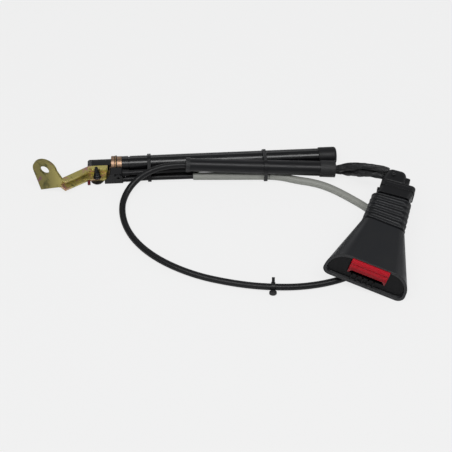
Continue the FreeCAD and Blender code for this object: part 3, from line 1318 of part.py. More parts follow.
def sheath_entry():
    """Where the sheath meets the elbow's left side, in the buckle's frame."""
    out = exit_direction()
    return V(0, elbow_top() + ELBOW_TURN_RADIUS, FITTING_Z) + out * (ELBOW_LEFT / -out.x)


def side_seat(y_above_flange, z):
    """A point on the elbow's left side."""
    return V(-ELBOW_LEFT, elbow_top() - 1.0 + y_above_flange, z)


def guide_collar():
    y0 = guide_start()
    neck = rounded_block(GUIDE_NECK_WIDTH, GUIDE_NECK_DEPTH, GUIDE_CORNER, y0 - GUIDE_NECK_LENGTH, y0 + 0.5,
                         0, GUIDE_Z)
    low = rounded_outline(COLLAR_WIDTH, COLLAR_DEPTH, GUIDE_CORNER, y0 + SEAT_GAP, COLLAR_MIDDLE_X, GUIDE_Z)
    top = rounded_outline(COLLAR_FLANGE_WIDTH - 0.8, COLLAR_FLANGE_DEPTH - 1.2, GUIDE_CORNER,
                          y0 + COLLAR_LENGTH,
                          COLLAR_FLANGE_MIDDLE_X, GUIDE_Z)
    collar = Part.makeLoft([low, top], True, True)
    flange = rounded_block(COLLAR_FLANGE_WIDTH, COLLAR_FLANGE_DEPTH, GUIDE_CORNER, y0 + COLLAR_LENGTH - 0.01,
                           y0 + COLLAR_LENGTH + COLLAR_FLANGE, COLLAR_FLANGE_MIDDLE_X, GUIDE_Z)
    left = COLLAR_MIDDLE_X - COLLAR_WIDTH / 2
    snap = prism([
        (left + 1.5, y0 + COLLAR_LENGTH, -4), (left - 1.6, y0 + COLLAR_LENGTH - 0.4, -4),
        (left - 1.6, y0 + COLLAR_LENGTH - 2.6, -4), (left + 1.5, y0 + COLLAR_LENGTH - 5.0, -4),
    ], (0, 0, 6))
    bore = tube_on(elbow_wire(), ROPE_CHANNEL_RADIUS)
    return neck.multiFuse([collar, flange, snap]).cut(bore)


def guide_elbow():
    y0 = guide_start() + COLLAR_LENGTH + COLLAR_FLANGE + 0.05
    r = ELBOW_RIGHT
    w = ELBOW_LEFT
    h = ELBOW_HEIGHT
    z0 = ELBOW_BACK
    corners = [(r, h * 0.62, 5.0), (r * 0.1, h, 6.0), (-w, h * 0.94, 1.6)]
    body = prism([(-w, y0, z0), (r, y0, z0)] + [(x, y0 + y, z0) for x, y, _ in corners],
                 (0, 0, ELBOW_FRONT - ELBOW_BACK))
    for x, y, radius in corners:
        upright = [e for e in body.Edges if all(abs(v.X - x) < 0.01 and abs(v.Y - y0 - y) < 0.01 for v in e.Vertexes)]
        body = body.makeFillet(radius, upright)
    rim = [e for e in body.Edges if min(v.Z for v in e.Vertexes) > ELBOW_FRONT - 0.01
           and max(v.Y for v in e.Vertexes) > y0 + 0.1]
    body = body.makeFillet(1.5, rim)
    flange = rounded_block(COLLAR_FLANGE_WIDTH - 0.6, COLLAR_FLANGE_DEPTH - 1.4, GUIDE_CORNER, y0,
                           y0 + ELBOW_FLANGE,
                           COLLAR_FLANGE_MIDDLE_X, GUIDE_Z)
    tab = prism([
        (r - 1.0, y0 + ELBOW_FLANGE + 1.0, -4), (r + ELBOW_TAB, y0 + ELBOW_FLANGE + 1.6, -4),
        (r + ELBOW_TAB, y0 + h * 0.66, -4), (r - 3.0, y0 + h * 0.72, -4),
    ], (0, 0, 7))
    body = body.multiFuse([flange, tab]).cut(tube_on(elbow_wire(), ROPE_CHANNEL_RADIUS))
    for seat, radius in ((sheath_entry(), SHEATH_RADIUS),
                         (side_seat(SWITCH_SEAT_Y, SWITCH_SEAT_Z), SWITCH_RADIUS),
                         (side_seat(WIRE_SEAT_Y, WIRE_SEAT_Z), WIRE_RADIUS)):
        inner = seat - exit_direction() * SHEATH_SEAT
        outer = seat + exit_direction() * SHEATH_SEAT
        body = body.cut(rod(radius + 0.05, tuple(inner), tuple(outer)))
    return body


def guide_rivet():
    """Small round lock button on the front of the elbow."""
    start = (-4.8, elbow_top() + 6.4, ELBOW_FRONT)
    end = (-4.8, elbow_top() + 6.4, ELBOW_FRONT + 1.0)
    return turned([(0, 0), (0, 1.7), (0.5, 1.6), (0.9, 1.0), (1.0, 0)], start, end)


def placed(shape, place):
    """A copy of a shape moved by a placement."""
    moved = shape.copy()
    moved.Placement = place.multiply(moved.Placement)
    return moved


def buckle_place(cover):
    """The turn of the buckle and the lift that sets its lowest point on the bench."""
    turn = FreeCAD.Rotation(V(0, 0, 1), -BUCKLE_YAW) * FreeCAD.Rotation(V(1, 0, 0), BUCKLE_PITCH)
    turn = turn * FreeCAD.Rotation(V(0, 1, 0), BUCKLE_ROLL)
    trial = cover.copy()
    trial.Placement = FreeCAD.Placement(V(0, 0, 0), turn)
    low = trial.optimalBoundingBox(False).ZMin
    return FreeCAD.Placement(V(MOUTH_X, MOUTH_Y, -low), turn)


def main():
    os.makedirs("parts", exist_ok=True)
    cover = buckle_cover()
    place = buckle_place(cover)
    print("mouth centre", [round(c, 3) for c in place.Base], "axes", [
        [round(c, 5) for c in place.Rotation.multVec(V(*a))] for a in ((1, 0, 0), (0, 1, 0), (0, 0, 1))])

    def set_in_buckle(shape):
        return on_bench(placed(shape, place))

    twist = FreeCAD.Rotation(V(0, 1, 0), -GUIDE_TWIST)
    guide_place = place.multiply(FreeCAD.Placement(V(0, 0, 0), twist, V(0, 0, FITTING_Z)))

    def set_in_guide(shape):
        return on_bench(placed(shape, guide_place))

    centre, _, up, normal = ear_frame()
    origin = V(TUBE_LEFT_X, TUBE_AXIS_Y, 0)
    print("anchor bore", [round(c, 3) for c in centre + origin], "up", [round(c, 5) for c in up],
          "normal", [round(c, 5) for c in normal])
    pin = place.multVec(V(0, LATCH_PIN_Y, LATCH_PIN_Z)) + origin
    print("latch pin", [round(c, 3) for c in pin], "part mouth", [round(c, 3) for c in place.Base + origin])

    # Anchor end
    write("anchor_bracket", on_bench(anchor_bracket()))
    write("fir_tree_clip", on_bench(fir_tree_clip()))
    write("clip_lock_tab", on_bench(clip_lock_tab()))
    write("housing_cover", on_bench(housing_cover()))
    write("housing_base", on_bench(housing_base()))
    write("manifold_block", on_bench(manifold_block()))
    write("guide_housing", on_bench(guide_housing()))
    write("gas_generator", on_bench(gas_generator()))
    write("crimp_ring", on_bench(crimp_ring()))
    write("igniter_plug", on_bench(igniter_plug()))
    write("igniter_lead", on_bench(igniter_lead()))
    write("sheath_ferrule", on_bench(sheath_ferrule()))
    write("lead_gland", on_bench(lead_gland()))

    # Tube and piston
    write("piston_tube", on_bench(piston_tube()))
    write("tube_end_cap", on_bench(tube_end_cap()))
    write("piston", on_bench(piston()))
    write("piston_seal", on_bench(piston_seal()))
    write("lock_balls", *[on_bench(b) for b in lock_balls()])
    write("rope_end_ferrule", on_bench(rope_end_ferrule()))
    write("piston_rope", on_bench(piston_rope()))

    # Leads held by the ties, sleeve and conduit
    feed = route_wire(FEED_POINTS, "feed lead")
    write("feed_lead", on_bench(tube_on(feed, FEED_RADIUS)))
    away = guide_place.Rotation.multVec(exit_direction())
    entry = guide_place.multVec(sheath_entry()) - away * SHEATH_SEAT
    before = entry + away * (SHEATH_SEAT + SHEATH_LEAD_IN)
    sheath_points = SHEATH_POINTS + [tuple(before), tuple(entry)]
    sheath = route_wire(sheath_points, "rope sheath")
    write("rope_sheath", on_bench(tube_on(sheath, SHEATH_RADIUS).cut(tube_on(sheath, SHEATH_BORE_RADIUS))))
    write("harness_sleeve", on_bench(harness_sleeve()))
    write("sleeve_end_ring", on_bench(sleeve_collar(False, END_RING_LENGTH, END_RING_GROWTH)))
    write("sleeve_end_tape", on_bench(sleeve_collar(True, END_TAPE_LENGTH, END_TAPE_GROWTH)))
    write("conduit_held", on_bench(conduit_held()))
    write("tie_left", on_bench(tie_left()))
    write("tie_right", on_bench(tie_right()))
    write("loop_tie", on_bench(loop_tie()))
    write("conduit_end", on_bench(conduit_joint()))
    conduit = route_wire(CONDUIT_POINTS, "conduit")
    write("conduit_free", on_bench(tube_on(conduit, CONDUIT_RADIUS)))
    loop = route_wire(LOOP_POINTS, "loop lead")
    write("loop_lead", on_bench(tube_on(loop, LEAD_RADIUS)))
    write("guide_collar", set_in_guide(guide_collar()))
    write("guide_elbow", set_in_guide(guide_elbow()))
    write("guide_rivet", set_in_guide(guide_rivet()))

    # Leads between the sleeve and the elbow
    end = guide_place.multVec(side_seat(SWITCH_SEAT_Y, SWITCH_SEAT_Z))
    switch_points = [
        tuple(along_sleeve(SLEEVE_POCKET - 2, True)), tuple(along_sleeve(-2, True)), *SWITCH_POINTS,
        tuple(end + away * 8), tuple(end - away * (SHEATH_SEAT - 0.1))]
    switch_wire = route_wire(switch_points, "switch lead")
    write("switch_lead", on_bench(tube_on(switch_wire, SWITCH_RADIUS)))
    end = guide_place.multVec(side_seat(WIRE_SEAT_Y, WIRE_SEAT_Z))
    wire_points = [*WIRE_POINTS, tuple(end + away * 8), tuple(end - away * (SHEATH_SEAT - 0.1))]
    write("switch_wire", on_bench(tube_on(route_wire(wire_points, "switch wire"), WIRE_RADIUS)))

    # The rope between the piston's stub and the buckle's stub
    turn = rope_turn_wire()
    lead_in = Part.Wire([Part.LineSegment(V(GUIDE_HOUSING_RIGHT_X, ROPE_RETURN_Y, TUBE_AXIS_Z),
                                          V(*SHEATH_POINTS[0])).toShape()])
    rope = tube_on(turn, ROPE_RADIUS).multiFuse([
        tube_on(lead_in, ROPE_RADIUS), tube_on(sheath, ROPE_RADIUS),
        placed(tube_on(elbow_wire(SHEATH_SEAT), ROPE_RADIUS), guide_place)])
    write("rope_run", on_bench(rope))

    # Buckle
    write("buckle_cover", set_in_buckle(cover))
    write("mouth_bezel", set_in_buckle(mouth_bezel()))
    write("release_button", set_in_buckle(release_button()))
    write("buckle_frame", set_in_buckle(buckle_frame()))
    write("latch_pin", set_in_buckle(latch_pin()))
    write("latch_lever", set_in_buckle(latch_lever()))
    write("ejector", set_in_buckle(ejector()))
    write("frame_tray", set_in_buckle(frame_tray()))
    write("button_springs", *[set_in_buckle(spring) for spring in button_springs()])
    write("ejector_springs", *[set_in_buckle(spring) for spring in ejector_springs()])
    write("rope_fitting", set_in_buckle(rope_fitting()))
    write("buckle_rope", set_in_buckle(buckle_rope()))
    write("bellows_boot", set_in_buckle(bellows_boot()))


main()
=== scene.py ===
"""Finishes, cords and soft pieces of a seat belt buckle pretensioner, and the studio it is shown in."""
import math

import bpy
from bpy.props import FloatProperty, FloatVectorProperty, IntProperty, PointerProperty
from mathutils import Matrix, Vector
from mathutils.geometry import convex_hull_2d


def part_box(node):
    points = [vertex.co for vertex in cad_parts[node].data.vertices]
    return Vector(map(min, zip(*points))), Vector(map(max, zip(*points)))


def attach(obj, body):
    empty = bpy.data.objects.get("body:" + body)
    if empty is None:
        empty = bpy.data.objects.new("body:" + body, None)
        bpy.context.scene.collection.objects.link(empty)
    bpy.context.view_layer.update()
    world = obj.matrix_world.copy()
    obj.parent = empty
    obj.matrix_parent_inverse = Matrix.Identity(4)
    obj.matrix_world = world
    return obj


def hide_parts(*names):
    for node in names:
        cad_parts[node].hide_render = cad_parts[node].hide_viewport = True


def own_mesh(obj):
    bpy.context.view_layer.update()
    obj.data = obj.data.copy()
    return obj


bl_info = {
    "name": "Buckle pretensioner",
    "version": (1, 0, 0),
    "blender": (4, 5, 0),
    "location": "View3D > Sidebar > Pretensioner",
    "description": "Finishes, cords and soft pieces of a seat belt buckle pretensioner",
    "category": "Object",
}

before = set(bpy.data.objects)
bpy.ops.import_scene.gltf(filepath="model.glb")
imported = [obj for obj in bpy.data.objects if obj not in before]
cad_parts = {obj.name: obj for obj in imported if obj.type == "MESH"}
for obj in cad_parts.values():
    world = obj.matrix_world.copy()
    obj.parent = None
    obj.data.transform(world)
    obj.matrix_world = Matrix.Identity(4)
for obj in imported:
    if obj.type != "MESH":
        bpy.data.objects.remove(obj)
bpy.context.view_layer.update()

# Point that the camera looks at, and half the width of the floor
CAMERA_TARGET = Vector((0.0018, 0.005, 0))
FLOOR_HALF = 6.0

# Route of the grey conduit over the bench, from the sleeve round the back of the boot
CONDUIT_POINTS = [
    (0.0455, 0.05984, 0.00495), (0.0553, 0.0593, 0.0044), (0.0713, 0.054, 0.0037),
    (0.0848, 0.0506, 0.0037), (0.0973, 0.045, 0.0037), (0.1089, 0.0368, 0.0037),
    (0.1195, 0.0278, 0.0037), (0.1298, 0.0184, 0.0037), (0.1388, 0.0085, 0.0037),
    (0.1444, -0.0055, 0.0037), (0.1433, -0.022, 0.0042), (0.1373, -0.035, 0.0046),
]
# Route of the black lead from the conduit's end, round in the wide loop and up into the sleeve
LOOP_POINTS = [
    (0.1372, -0.0352, 0.0046), (0.1324, -0.0456, 0.0046), (0.1223, -0.0528, 0.0034),
    (0.1108, -0.0584, 0.0031), (0.0971, -0.0642, 0.0031), (0.0788, -0.0683, 0.0031),
    (0.0588, -0.0703, 0.0036), (0.0383, -0.0698, 0.0045), (0.0188, -0.0664, 0.0036),
    (-0.0022, -0.0609, 0.0031), (-0.0232, -0.054, 0.0031), (-0.0422, -0.0446, 0.0031),
    (-0.0587, -0.0336, 0.0031), (-0.0727, -0.0206, 0.0031), (-0.0837, -0.0055, 0.0031),
    (-0.0906, 0.0115, 0.0031), (-0.0928, 0.0295, 0.0032), (-0.0898, 0.0435, 0.0045),
    (-0.0817, 0.0544, 0.0094), (-0.0682, 0.062, 0.0156), (-0.0452, 0.0662, 0.0196),
    (-0.0222, 0.06515, 0.0184),
]

# Place of the buckle: the middle of its mouth, and its turns on the bench
BUCKLE_ORIGIN = Vector((0.1182, -0.0742, 0.022252))
BUCKLE_TURN = (
    Matrix.Rotation(math.radians(-22.5), 3, "Z")
    @ Matrix.Rotation(math.radians(5.0), 3, "X")
    @ Matrix.Rotation(math.radians(12.0), 3, "Y")
)

# The guide elbow is turned about the rope's line, which lies this high in the buckle's frame
GUIDE_TWIST = 11.0
ROPE_LINE = -1.6
GUIDE_TOP = 95.65

# Bellows in the buckle's frame, in millimetres: its foot, its length, and its width and depth at both ends
BELLOWS_FOOT = 50.0
BELLOWS_LENGTH = 34.0
BELLOWS_FOOT_SIZE = (39.4, 20.0)
BELLOWS_TOP_SIZE = (36.0, 17.6)
BELLOWS_FOOT_MIDDLE = -1.5
BELLOWS_TOP_MIDDLE = -1.2
BELLOWS_CORNER = 7.0
STEPS_IN_FOLD = 14

# Sections of the guide elbow in its own frame, in millimetres: left, right, back, front and corner radius
FLANGE_LOW = (-13.0, 17.4, -9.7, 7.2, 3.6)
FLANGE_WIDE = (-13.3, 17.7, -10.0, 7.5, 4.0)
DOME_FOOT = (-13.6, 7.8, -10.2, 7.2, 4.2)
DOME_TOP = (-4.0, 0.4, -4.2, 1.8, 2.2)
DOME_START = 2.6
DOME_RISE = 15.6
CATCH_FOOT = (6.4, 9.6, -4.0, 3.4, 0.6)
CATCH_LOW = (6.4, 10.5, -4.4, 3.8, 0.8)
CATCH_HIGH = (6.4, 10.7, -4.4, 3.8, 0.8)
CATCH_TOP = (5.2, 9.9, -4.0, 3.4, 0.6)

# Height of the release button's foot over the mouth's middle, and of its whole face, over which the button's
# painted light and shade are spread
BUTTON_FOOT = -0.0054
BUTTON_HEIGHT = 0.0159

# Middle lines of the two wrapped strands between the sleeve and the elbow, upper and lower
UPPER_STRAND = [
    (0.1098, 0.0582, 0.0128), (0.1145, 0.0567, 0.0148), (0.1193, 0.0547, 0.0177), (0.1253, 0.0508, 0.0214),
    (0.1313, 0.0471, 0.0251), (0.1372, 0.0437, 0.0272), (0.1436, 0.041, 0.0282), (0.1505, 0.0383, 0.0285),
]
LOWER_STRAND = [
    (0.1075, 0.0648, 0.0036), (0.1125, 0.0627, 0.0046), (0.1176, 0.0587, 0.0074), (0.1218, 0.0548, 0.0104),
    (0.1245, 0.0499, 0.0151), (0.1271, 0.0447, 0.0201), (0.1318, 0.0409, 0.0236), (0.1367, 0.037, 0.0271),
    (0.1422, 0.0347, 0.0279), (0.148, 0.0322, 0.0287),
]
# Middle line of the wrapped switch wire over the two strands
WIRE_STRAND = [
    (0.1078, 0.0612, 0.0122), (0.1135, 0.0598, 0.0152), (0.1205, 0.0572, 0.0196), (0.128, 0.0528, 0.0238),
    (0.134, 0.0486, 0.0268), (0.14, 0.0452, 0.029), (0.1468, 0.0422, 0.0298), (0.1535, 0.0392, 0.0296),
]
# Middle line of a dark filler strand wound in tape, behind the leads and under the tube up to the sleeve,
# which fills the gap between the leads where the floor would show
BACK_STRAND = [
    (-0.0872, 0.0694, 0.0044), (-0.0712, 0.0694, 0.0044), (-0.0472, 0.0692, 0.0044),
    (-0.0202, 0.069, 0.0045),
]
# Unevenness of a wrapped strand: shares of its radius, and waves in radians per metre
LAP_STEP = 0.08
COARSE_LUMP = 0.07
COARSE_WAVE = 330
FINE_LUMP = 0.05
FINE_WAVE = 700


def srgb(hex_colour):
    """Linear red, green and blue of an sRGB hex colour."""
    linear = []
    for i in (0, 2, 4):
        value = int(hex_colour[i:i + 2], 16) / 255
        linear.append(value / 12.92 if value <= 0.04045 else ((value + 0.055) / 1.055) ** 2.4)
    return linear


def colour_property(name, hex_colour, description):
    """A colour setting whose default is an sRGB hex colour."""
    return FloatVectorProperty(name=name, subtype="COLOR", size=3, min=0, max=1, default=srgb(hex_colour),
                               description=description)


def per_mm(size):
    """Texture scale at which one feature of a pattern is that many millimetres across."""
    return 1000.0 / size


def bands_per_mm(size):
    """Wave texture scale at which one band is that many millimetres across."""
    return per_mm(size) * math.pi / 10


def in_buckle(x, y, z):
    """A point given in millimetres in the buckle's own frame, in the row frame in metres."""
    return BUCKLE_ORIGIN + BUCKLE_TURN @ (Vector((x, y, z)) * 0.001)


def twisted(x, z, share=1.0):
    """A point across the boot, turned about the rope's line by a share of the guide's twist."""
    turn = math.radians(-GUIDE_TWIST * share)
    high = z - ROPE_LINE
    return x * math.cos(turn) + high * math.sin(turn), high * math.cos(turn) - x * math.sin(turn) + ROPE_LINE


def in_guide(x, y, z):
    """A point given in millimetres in the guide's own frame, in the row frame in metres."""
    across, up = twisted(x, z)
    return in_buckle(across, y, up)


class FinishSettings(bpy.types.PropertyGroup):
    straw: colour_property("Straw", "beb26c", "Main tone of the yellow chromate on the bracket")
    olive: colour_property("Olive", "7b7a4a", "Dark tone of the yellow chromate")
    rose: colour_property("Rose", "bd8a8c", "Pink tone of the yellow chromate")
    casting: colour_property("Casting", "a98a72", "Passivated die casting of the manifold")
    brass: colour_property("Brass", "b08a5c", "Crimped ring on the tube's neck")
    paint: colour_property("Paint", "09090b", "Gloss paint on the piston tube")
    moulding: colour_property("Moulding", "0f0f11", "Fine-grained black mouldings")
    # The bezel's black is darker than the other mouldings, as painted shade in the recessed mouth.
    bezel: colour_property("Bezel", "060608", "Panel in the mouth of the boot")
    rubber: colour_property("Rubber", "121316", "Moulded rubber of the boot")
    jacket: colour_property("Jacket", "0c0c0e", "Smooth jackets of the leads and the sheath")
    sleeve: colour_property("Sleeve", "101012", "Shrunk sleeve over the leads")
    conduit: colour_property("Conduit", "8f908a", "Grey conduit")
    tape: colour_property("Tape", "0d0d0f", "Cloth tape wound round the leads")
    nylon: colour_property("Nylon", "0e0e10", "Cable ties and clip")
    button: colour_property("Button", "a80018", "Release button")
    button_dark: colour_property("Dark red", "5a0a18", "Lock tab of the clip")
    steel: colour_property("Steel", "a7a8a8", "Bright zinc plated steel inside the buckle")


class BootSettings(bpy.types.PropertyGroup):
    ribs: IntProperty(name="Ribs", default=6, min=3, max=12, description="Folds of the bellows")
    groove: FloatProperty(name="Groove", default=0.0024, min=0.0005, max=0.003, unit="LENGTH",
                          description="Depth of the grooves between the folds")
    wall: FloatProperty(name="Wall", default=0.0013, min=0.0008, max=0.002, unit="LENGTH",
                        description="Thickness of the bellows' wall")
    kept: FloatProperty(name="Kept length", default=0.47, min=0.2, max=1, subtype="FACTOR",
                        description="Share of its length that the bellows keeps when the buckle is drawn in")


class CordSettings(bpy.types.PropertyGroup):
    conduit: FloatProperty(name="Conduit", default=0.0072, min=0.004, max=0.01, unit="LENGTH",
                           description="Outer diameter of the grey conduit")
    lead: FloatProperty(name="Lead", default=0.006, min=0.003, max=0.008, unit="LENGTH",
                        description="Outer diameter of the black lead")


class TapeSettings(bpy.types.PropertyGroup):
    upper: FloatProperty(name="Upper strand", default=0.0028, min=0.001, max=0.006, unit="LENGTH",
                         description="Radius of the upper strand between the sleeve and the elbow")
    lower: FloatProperty(name="Lower strand", default=0.003, min=0.001, max=0.006, unit="LENGTH",
                         description="Radius of the lower strand between the sleeve and the elbow")
    wire: FloatProperty(name="Switch wire", default=0.0014, min=0.0005, max=0.003, unit="LENGTH",
                        description="Radius of the wrapped switch wire")
    back: FloatProperty(name="Back strand", default=0.0016, min=0.0005, max=0.003, unit="LENGTH",
                        description="Radius of the strand behind the leads, under the tube")


class StageSettings(bpy.types.PropertyGroup):
    distance: FloatProperty(name="Distance", default=1.0, min=0.5, max=3, unit="LENGTH",
                            description="Camera to the middle of the part")
    elevation: FloatProperty(name="Elevation", default=math.radians(50), min=0, max=1.5, subtype="ANGLE",
                             description="Height of the camera above the horizon")
    turn: FloatProperty(name="Turn", default=math.radians(3.2), min=-3.2, max=3.2, subtype="ANGLE",
                        description="Turn of the camera from straight in front")
    lens: FloatProperty(name="Lens", default=87.6, min=30, max=200,
                        description="Focal length in millimetres")
    floor: colour_property("Floor", "f1f1f1", "Floor and backdrop")
    key: FloatProperty(name="Key light", default=12.0, min=0, max=50,
                       description="Power of the soft box overhead")
    fill: FloatProperty(name="Fill light", default=1.6, min=0, max=50,
                        description="Power of the side lights")


def settings():
    """The scene's settings of all groups."""
    return bpy.context.scene.pretensioner


class PretensionerSettings(bpy.types.PropertyGroup):
    finish: PointerProperty(type=FinishSettings)
    boot: PointerProperty(type=BootSettings)
    cords: PointerProperty(type=CordSettings)
    tapes: PointerProperty(type=TapeSettings)
    stage: PointerProperty(type=StageSettings)


def add_node(tree, kind, inputs=None, **values):
    """Adds a node, sets its properties, and fills or links its inputs."""
    made = tree.nodes.new(kind)
    for name, value in values.items():
        setattr(made, name, value)
    for name, value in (inputs or {}).items():
        if isinstance(value, bpy.types.NodeSocket):
            tree.links.new(value, made.inputs[name])
        else:
            made.inputs[name].default_value = value
    return made


def set_stops(ramp, stops):
    """Sets a colour ramp's stops: (place, colour) pairs."""
    elements = ramp.color_ramp.elements
    while len(elements) < len(stops):
        elements.new(0.5)
    for element, (place, colour) in zip(elements, stops):
        element.position = place
        element.color = (*colour, 1)


def new_material(name):
    """A material with its node tree, its surface shader and the piece's own coordinates."""
    made = bpy.data.materials.get(name)
    if made is not None:
        return made, None, None, None
    made = bpy.data.materials.new(name)
    made.use_nodes = True
    tree = made.node_tree
    shader = tree.nodes["Principled BSDF"]
    coordinates = add_node(tree, "ShaderNodeTexCoord").outputs["Object"]
    return made, tree, shader, coordinates


def finish_bump(tree, shader, height, depth_mm, edge_mm=0.35):
    """Feeds a height pattern and softly broken edges to the shader's normal."""
    edge = add_node(tree, "ShaderNodeBevel", {"Radius": edge_mm * 0.001}, samples=6)
    bump = add_node(tree, "ShaderNodeBump", {"Strength": 1.0, "Distance": depth_mm * 0.001, "Height": height,
                                             "Normal": edge.outputs["Normal"]})
    tree.links.new(bump.outputs["Normal"], shader.inputs["Normal"])


def chromated_steel():
    """Stamped sheet steel in yellow chromate: a drift of straw, olive and rose, with painted shade that
    darkens it towards the ear.
    """
    made, tree, shader, place = new_material("stamped_steel_yellow_chromate")
    if tree is None:
        return made
    colours = settings().finish
    drift = add_node(tree, "ShaderNodeTexNoise", {"Vector": place, "Scale": per_mm(14), "Detail": 4,
                                                  "Distortion": 1.4})
    ramp = add_node(tree, "ShaderNodeValToRGB", {"Fac": drift.outputs["Fac"]})
    set_stops(ramp, [(0.32, colours.olive), (0.44, colours.straw), (0.58, colours.straw),
                     (0.68, colours.rose)])
    grain = add_node(tree, "ShaderNodeTexNoise", {"Vector": place, "Scale": per_mm(0.7), "Detail": 3})
    rough = add_node(tree, "ShaderNodeMapRange", {"Value": grain.outputs["Fac"], "To Min": 0.3,
                                                  "To Max": 0.52})
    # Painted shade: the colour is scaled to 0.42 at the ear and rises to full strength at the arm.
    low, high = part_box("anchor_bracket")
    along = add_node(tree, "ShaderNodeSeparateXYZ", {"Vector": place}).outputs["X"]
    ear, arm = low[0] + 0.012, low[0] + 0.03
    painted_shade_to_ear = add_node(tree, "ShaderNodeMapRange", {"Value": along, "From Min": ear, "From Max": arm,
                                                 "To Min": 0.42, "To Max": 1.0})
    tone = add_node(tree, "ShaderNodeVectorMath", {0: ramp.outputs["Color"], "Scale": painted_shade_to_ear.outputs["Result"]},
                    operation="SCALE")
    tree.links.new(tone.outputs["Vector"], shader.inputs["Base Color"])
    tree.links.new(rough.outputs["Result"], shader.inputs["Roughness"])
    shader.inputs["Metallic"].default_value = 0.8
    finish_bump(tree, shader, grain.outputs["Fac"], 0.02)
    return made


def die_casting():
    """Zinc die casting, passivated: a fine sandy skin with warm tan patches."""
    made, tree, shader, place = new_material("die_cast_zinc_passivated")
    if tree is None:
        return made
    colour = Vector(settings().finish.casting)
    drift = add_node(tree, "ShaderNodeTexNoise", {"Vector": place, "Scale": per_mm(5), "Detail": 5})
    ramp = add_node(tree, "ShaderNodeValToRGB", {"Fac": drift.outputs["Fac"]})
    set_stops(ramp, [(0.35, colour * 0.7), (0.65, colour * 1.15)])
    sand = add_node(tree, "ShaderNodeTexNoise", {"Vector": place, "Scale": per_mm(0.35), "Detail": 2})
    tree.links.new(ramp.outputs["Color"], shader.inputs["Base Color"])
    shader.inputs["Metallic"].default_value = 1.0
    shader.inputs["Roughness"].default_value = 0.42
    finish_bump(tree, shader, sand.outputs["Fac"], 0.03)
    return made


def turned_brass():
    """Crimped brass ring, machine turned and dipped in paint but for a bare band round its middle."""
    made, tree, shader, place = new_material("brass_turned")
    if tree is None:
        return made
    colours = settings().finish
    low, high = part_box("crimp_ring")
    along = add_node(tree, "ShaderNodeSeparateXYZ", {"Vector": place}).outputs["X"]
    ragged = add_node(tree, "ShaderNodeTexNoise", {"Vector": place, "Scale": per_mm(3), "Detail": 3})
    shift = add_node(tree, "ShaderNodeMath", {0: ragged.outputs["Fac"], 1: 0.0006, 2: along},
                     operation="MULTIPLY_ADD")
    share = add_node(tree, "ShaderNodeMapRange", {"Value": shift.outputs["Value"], "From Min": low[0],
                                                  "From Max": high[0]})
    painted = add_node(tree, "ShaderNodeValToRGB", {"Fac": share.outputs["Result"]})
    set_stops(painted, [(0.42, (1, 1, 1)), (0.48, (0, 0, 0)), (0.66, (0, 0, 0)), (0.72, (1, 1, 1))])
    rings = add_node(tree, "ShaderNodeTexWave", {"Vector": place, "Scale": bands_per_mm(5.655),
                                                 "Distortion": 0.6, "Detail": 1}, bands_direction="X")
    tone = add_node(tree, "ShaderNodeValToRGB", {"Fac": painted.outputs["Color"]})
    set_stops(tone, [(0.0, colours.brass), (1.0, colours.paint)])
    metal = add_node(tree, "ShaderNodeMapRange", {"Value": painted.outputs["Color"], "To Min": 0.9,
                                                  "To Max": 0.0})
    tree.links.new(tone.outputs["Color"], shader.inputs["Base Color"])
    tree.links.new(metal.outputs["Result"], shader.inputs["Metallic"])
    shader.inputs["Roughness"].default_value = 0.36
    finish_bump(tree, shader, rings.outputs["Fac"], 0.01)
    return made


def gloss_paint():
    """Drawn steel tube in stoved gloss paint: a deep black with slight orange peel and sharp highlights."""
    made, tree, shader, place = new_material("steel_tube_gloss_paint")
    if tree is None:
        return made
    peel = add_node(tree, "ShaderNodeTexNoise", {"Vector": place, "Scale": per_mm(2.2), "Detail": 1})
    dust = add_node(tree, "ShaderNodeTexNoise", {"Vector": place, "Scale": per_mm(9), "Detail": 6})
    rough = add_node(tree, "ShaderNodeMapRange", {"Value": dust.outputs["Fac"], "From Min": 0.3,
                                                  "From Max": 0.7, "To Min": 0.16, "To Max": 0.3})
    tree.links.new(rough.outputs["Result"], shader.inputs["Roughness"])
    shader.inputs["Base Color"].default_value = (*settings().finish.paint, 1)
    finish_bump(tree, shader, peel.outputs["Fac"], 0.03)
    return made


def grained_moulding(name, colour, roughness, grain_mm, depth_mm, edge_mm=0.35, sheen=0.3):
    """Plastic or rubber moulded in a spark-eroded tool: a fine matt grain with faint rubbed patches."""
    made, tree, shader, place = new_material(name)
    if tree is None:
        return made
    colour = Vector(colour)
    grain = add_node(tree, "ShaderNodeTexNoise", {"Vector": place, "Scale": per_mm(grain_mm), "Detail": 2})
    rubbed = add_node(tree, "ShaderNodeTexNoise", {"Vector": place, "Scale": per_mm(12), "Detail": 6})
    tone = add_node(tree, "ShaderNodeValToRGB", {"Fac": rubbed.outputs["Fac"]})
    set_stops(tone, [(0.35, colour * 0.85), (0.7, colour * 1.25)])
    rough = add_node(tree, "ShaderNodeMapRange", {
        "Value": rubbed.outputs["Fac"], "From Min": 0.3, "From Max": 0.7,
        "To Min": roughness + 0.06, "To Max": roughness - 0.06,
    })
    tree.links.new(tone.outputs["Color"], shader.inputs["Base Color"])
    tree.links.new(rough.outputs["Result"], shader.inputs["Roughness"])
    shader.inputs["Specular IOR Level"].default_value = sheen
    finish_bump(tree, shader, grain.outputs["Fac"], depth_mm, edge_mm)
    return made


def extruded_jacket(name, colour, roughness):
    """Extruded jacket: smooth along its length, with faint scuffs."""
    made, tree, shader, place = new_material(name)
    if tree is None:
        return made
    scuffs = add_node(tree, "ShaderNodeTexNoise", {"Vector": place, "Scale": per_mm(4), "Detail": 8})
    rough = add_node(tree, "ShaderNodeMapRange", {
        "Value": scuffs.outputs["Fac"], "From Min": 0.35, "From Max": 0.7,
        "To Min": roughness - 0.03, "To Max": roughness + 0.08,
    })
    tree.links.new(rough.outputs["Result"], shader.inputs["Roughness"])
    shader.inputs["Base Color"].default_value = (*colour, 1)
    shader.inputs["Specular IOR Level"].default_value = 0.3
    finish_bump(tree, shader, scuffs.outputs["Fac"], 0.004, 0.2)
    return made


